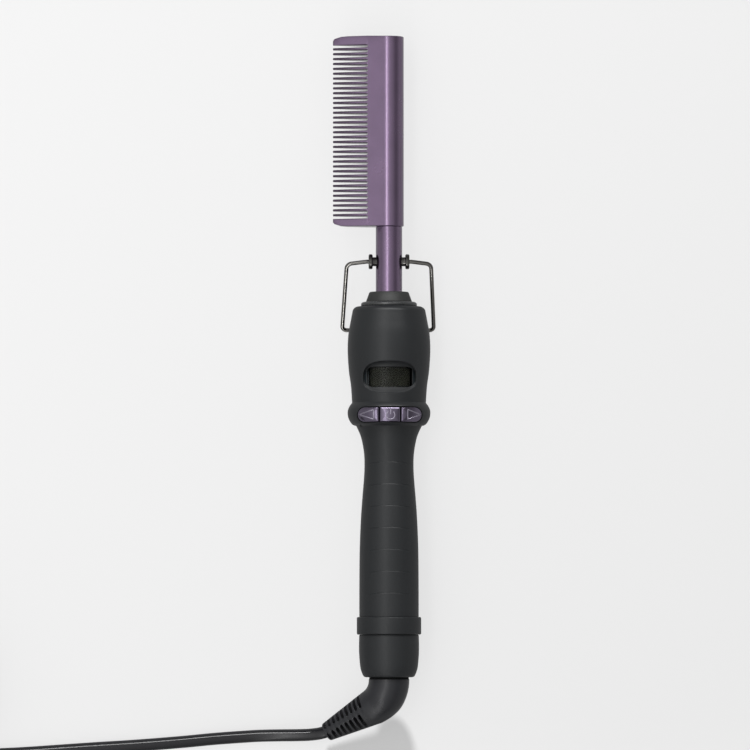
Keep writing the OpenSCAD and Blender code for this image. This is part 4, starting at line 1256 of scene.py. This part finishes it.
# ---- Tail band and cap ----
# A moulded band clamps the tail ends of the half shells, and a cap with a rounded end plugs
# into them.
ringed("tail_band", [(18.75, 12.45), (18.75, 14.15), (26.45, 14.15), (26.45, 12.45)],
       soft_black, "soft_black", "end_band", edge=1.0, steps=6)
cap_keys = [(0, 10.2), (0.5, 11.2), (2.6, 12.15), (5.3, 12.75), (11.9, 13.2), (18.6, 13.1)]
cap_line = [(0, 7.0), (0, 10.0), *smooth_line(cap_keys, 4)[1:-1], (18.4, 13.1), (18.55, 12.98),
            (18.6, 12.85), (18.72, 12.8), (18.72, 10.6), (25, 10.6), (25, 9.4), (3, 9.4),
            (3, 7.0)]
ringed("tail_cap", cap_line, soft_black, "soft_black", "end_cap", edge=0)

# ---- Swivel ----
# The elbow turns in an acetal bush. Two brass rings on its rotor run against spring brushes, so
# that the cord never twists. A near-black washer closes the joint between cap and elbow: painted
# shade in the joint.
paint(finish_of("acetal", (0.72, 0.72, 0.68), 0.45, relief=0.006), "swivel_bush",
      "swivel_rotor")
paint(finish_of("phenolic", (0.28, 0.17, 0.09), 0.5, grain=2500, speck=0.2), "brush_holder")
paint(finish_of("brass", (0.75, 0.55, 0.24), 0.25, metallic=1.0, relief=0.005, mottle=200),
      "contact_brushes", "slip_rings")
# Painted shade: the washer is near-black, darker than the rubber, standing in for the shade in the
# joint under the cap.
joint_shade_black = finish_of("black_washer", (0.004, 0.004, 0.004), 0.7, grain=2500,
                       Specular_IOR_Level=0.1)
ringed("elbow_seal", [(-0.85, 5.6), (-0.85, 8.7), (-0.04, 8.7), (-0.04, 5.6)], joint_shade_black,
       "elbow_rubber", edge=0, body="swivel")

# ---- Elbow ----
# A bent strain relief moulded in black rubber round the cord. Slots across its inner and outer
# sides let it flex, and a plain bar runs down each broad side.
elbow_roll, elbow_bend = math.radians(20), math.radians(62.5)
elbow_bend_r, elbow_straight, swivel_gap = 13.35, 0.5, 0.5
elbow_top_r, relief_r, relief_tip_r, relief_len = 8.95, 8.1, 4.1, 24.5
slot_pitch, slot_w, slot_count, bar_half, web_half = 2.45, 1.5, 9, 1.05, 0.12
slot_end, slot_narrow, slot_widens, slot_edge = 1.5, 0.55, 0.7, 0.08
cord_hole_r, neck_in_cap_r = 2.75, 5.45
bend_steps = 16
bend_run = elbow_straight + elbow_bend_r * elbow_bend
first_slot = bend_run + relief_len - slot_end - slot_pitch * (slot_count - 1) - slot_w / 2


def on_elbow(run, r, a):
    """A point of the elbow, a length along its bend, a radius out and at an angle round it."""
    turn = min(max(run - elbow_straight, 0) / elbow_bend_r, elbow_bend)
    beyond = run - elbow_straight - elbow_bend_r * turn
    out = elbow_bend_r + r * math.cos(a)
    x = out * math.cos(turn) - elbow_bend_r - beyond * math.sin(turn)
    s = -swivel_gap - elbow_straight - out * math.sin(turn) - beyond * math.cos(turn)
    up = r * math.sin(a)
    return place(x * math.cos(elbow_roll) - up * math.sin(elbow_roll), s,
                 x * math.sin(elbow_roll) + up * math.cos(elbow_roll))


def elbow_rows():
    """The elbow's rows, as (kind, length along it, and its radius or its slot's number)."""
    rows = [("plain", s, r) for s, r in (
        (-4.1, cord_hole_r), (-4.1, neck_in_cap_r - 0.15), (-3.95, neck_in_cap_r),
        (0.2, neck_in_cap_r), (0.3, 8.7), (0.35, 8.87), (0.48, elbow_top_r))]
    for u in np.arange(1, bend_steps + 1) / bend_steps:
        rows.append(("plain", elbow_straight + (bend_run - elbow_straight) * u,
                     elbow_top_r + (relief_r - elbow_top_r) * eased(2 * u - 1)))
    for k in range(slot_count):
        rows += [(kind, first_slot + slot_pitch * k + d, k) for kind, d in (
            ("bar", -0.35), ("edge", -0.12), ("edge", 0), ("in", 0), ("in", slot_w / 2),
            ("in", slot_w), ("edge", slot_w), ("edge", slot_w + 0.12), ("bar", slot_w + 0.35))]
    end = bend_run + relief_len
    return rows + [("plain", end - d, r) for d, r in (
        (0.6, relief_tip_r + 0.06), (0.3, relief_tip_r), (0.08, relief_tip_r - 0.12),
        (0, relief_tip_r - 0.35), (0, cord_hole_r), (3, cord_hole_r))]


def slot_shape(kind, run, slot, side_r, a):
    """The length along the elbow and the radius of a point in or beside a slot."""
    across, up = abs(math.cos(a)), abs(math.sin(a))
    reach = across * side_r - bar_half
    middle = first_slot + slot_pitch * slot + slot_w / 2
    skipped = slot == 0 and math.cos(a) > 0
    open_here = reach > -1e-6 and up > web_half + 1e-6 and not skipped
    width = slot_narrow + (1 - slot_narrow) * eased(reach / slot_widens)
    s = run if kind == "bar" else middle + (run - middle) * width
    if kind == "in" and open_here and reach > 1e-6:
        return s, min(side_r, web_half * side_r / up)
    if kind == "edge" and open_here and abs(abs(run - middle) - slot_w / 2) < 1e-6:
        return s, side_r - slot_edge
    return s, side_r


def elbow_rings():
    """The rings of the elbow, with the same angles round each."""
    rings = []
    web = math.asin(web_half)
    for kind, run, value in elbow_rows():
        along = min(max((run - bend_run) / relief_len, 0), 1)
        side_r = relief_r + (relief_tip_r - relief_r) * along
        spine = math.acos(bar_half / side_r)
        quarter = [0, web / 2] + [web + (spine - web) * u
                                  for u in (0, 0.12, 0.3, 0.5, 0.7, 0.85, 0.94, 1)]
        quarter += [spine + 0.03, (spine + math.pi / 2) / 2]
        angles = quarter + [math.pi / 2] + [math.pi - a for a in reversed(quarter)]
        angles += [-a for a in reversed(angles)][1:-1]
        ring = []
        for a in angles:
            s, r = (run, value) if kind == "plain" else slot_shape(kind, run, value, side_r, a)
            if elbow_straight < run < bend_run and math.cos(a) < 0:
                u = (run - elbow_straight) / (bend_run - elbow_straight)
                inner_r = elbow_top_r + (relief_r - elbow_top_r) * u**1.3
                r += (inner_r - r) * math.cos(a)**2
            ring.append(on_elbow(s, r, a))
        rings.append(ring)
    return rings


elbow_rubber = finish_of("satin_rubber", (0.016, 0.0165, 0.0195), 0.3, grain=2800, relief=0.03,
                         mottle=80, tone=0.15)
dress(shape("cord_elbow_moulding", *stack(elbow_rings())), elbow_rubber, "swivel",
      "elbow_rubber", "cord_elbow")

# ---- What each lamp lights ----
# The softbox leaves out the bare metal and the table, the strip is for the stand's wire and
# studs alone, and the far lamp lights only the table, with the elbow's shadow on it.
metal_and_table = ("toothed_head", "coated_neck", "rivet_studs", "bent_wire_stand", "table")


def only(title, wanted):
    """A collection of the meshes and curves with some names."""
    group = bpy.data.collections.new(title)
    for obj in scene.objects:
        if obj.type in {"MESH", "CURVE"} and wanted(obj.name):
            group.objects.link(obj)
    return group


side_lamp.light_linking.receiver_collection = only("lit_by_the_softbox",
                                                   lambda n: n not in metal_and_table)
strip_lamp.light_linking.receiver_collection = only(
    "lit_by_the_strip", lambda n: n in ("bent_wire_stand", "rivet_studs"))
table_lamp.light_linking.receiver_collection = only("lit_by_the_far_lamp",
                                                    lambda n: n == "table")
table_lamp.light_linking.blocker_collection = only("shading_the_table",
                                                   lambda n: n == "cord_elbow_moulding")
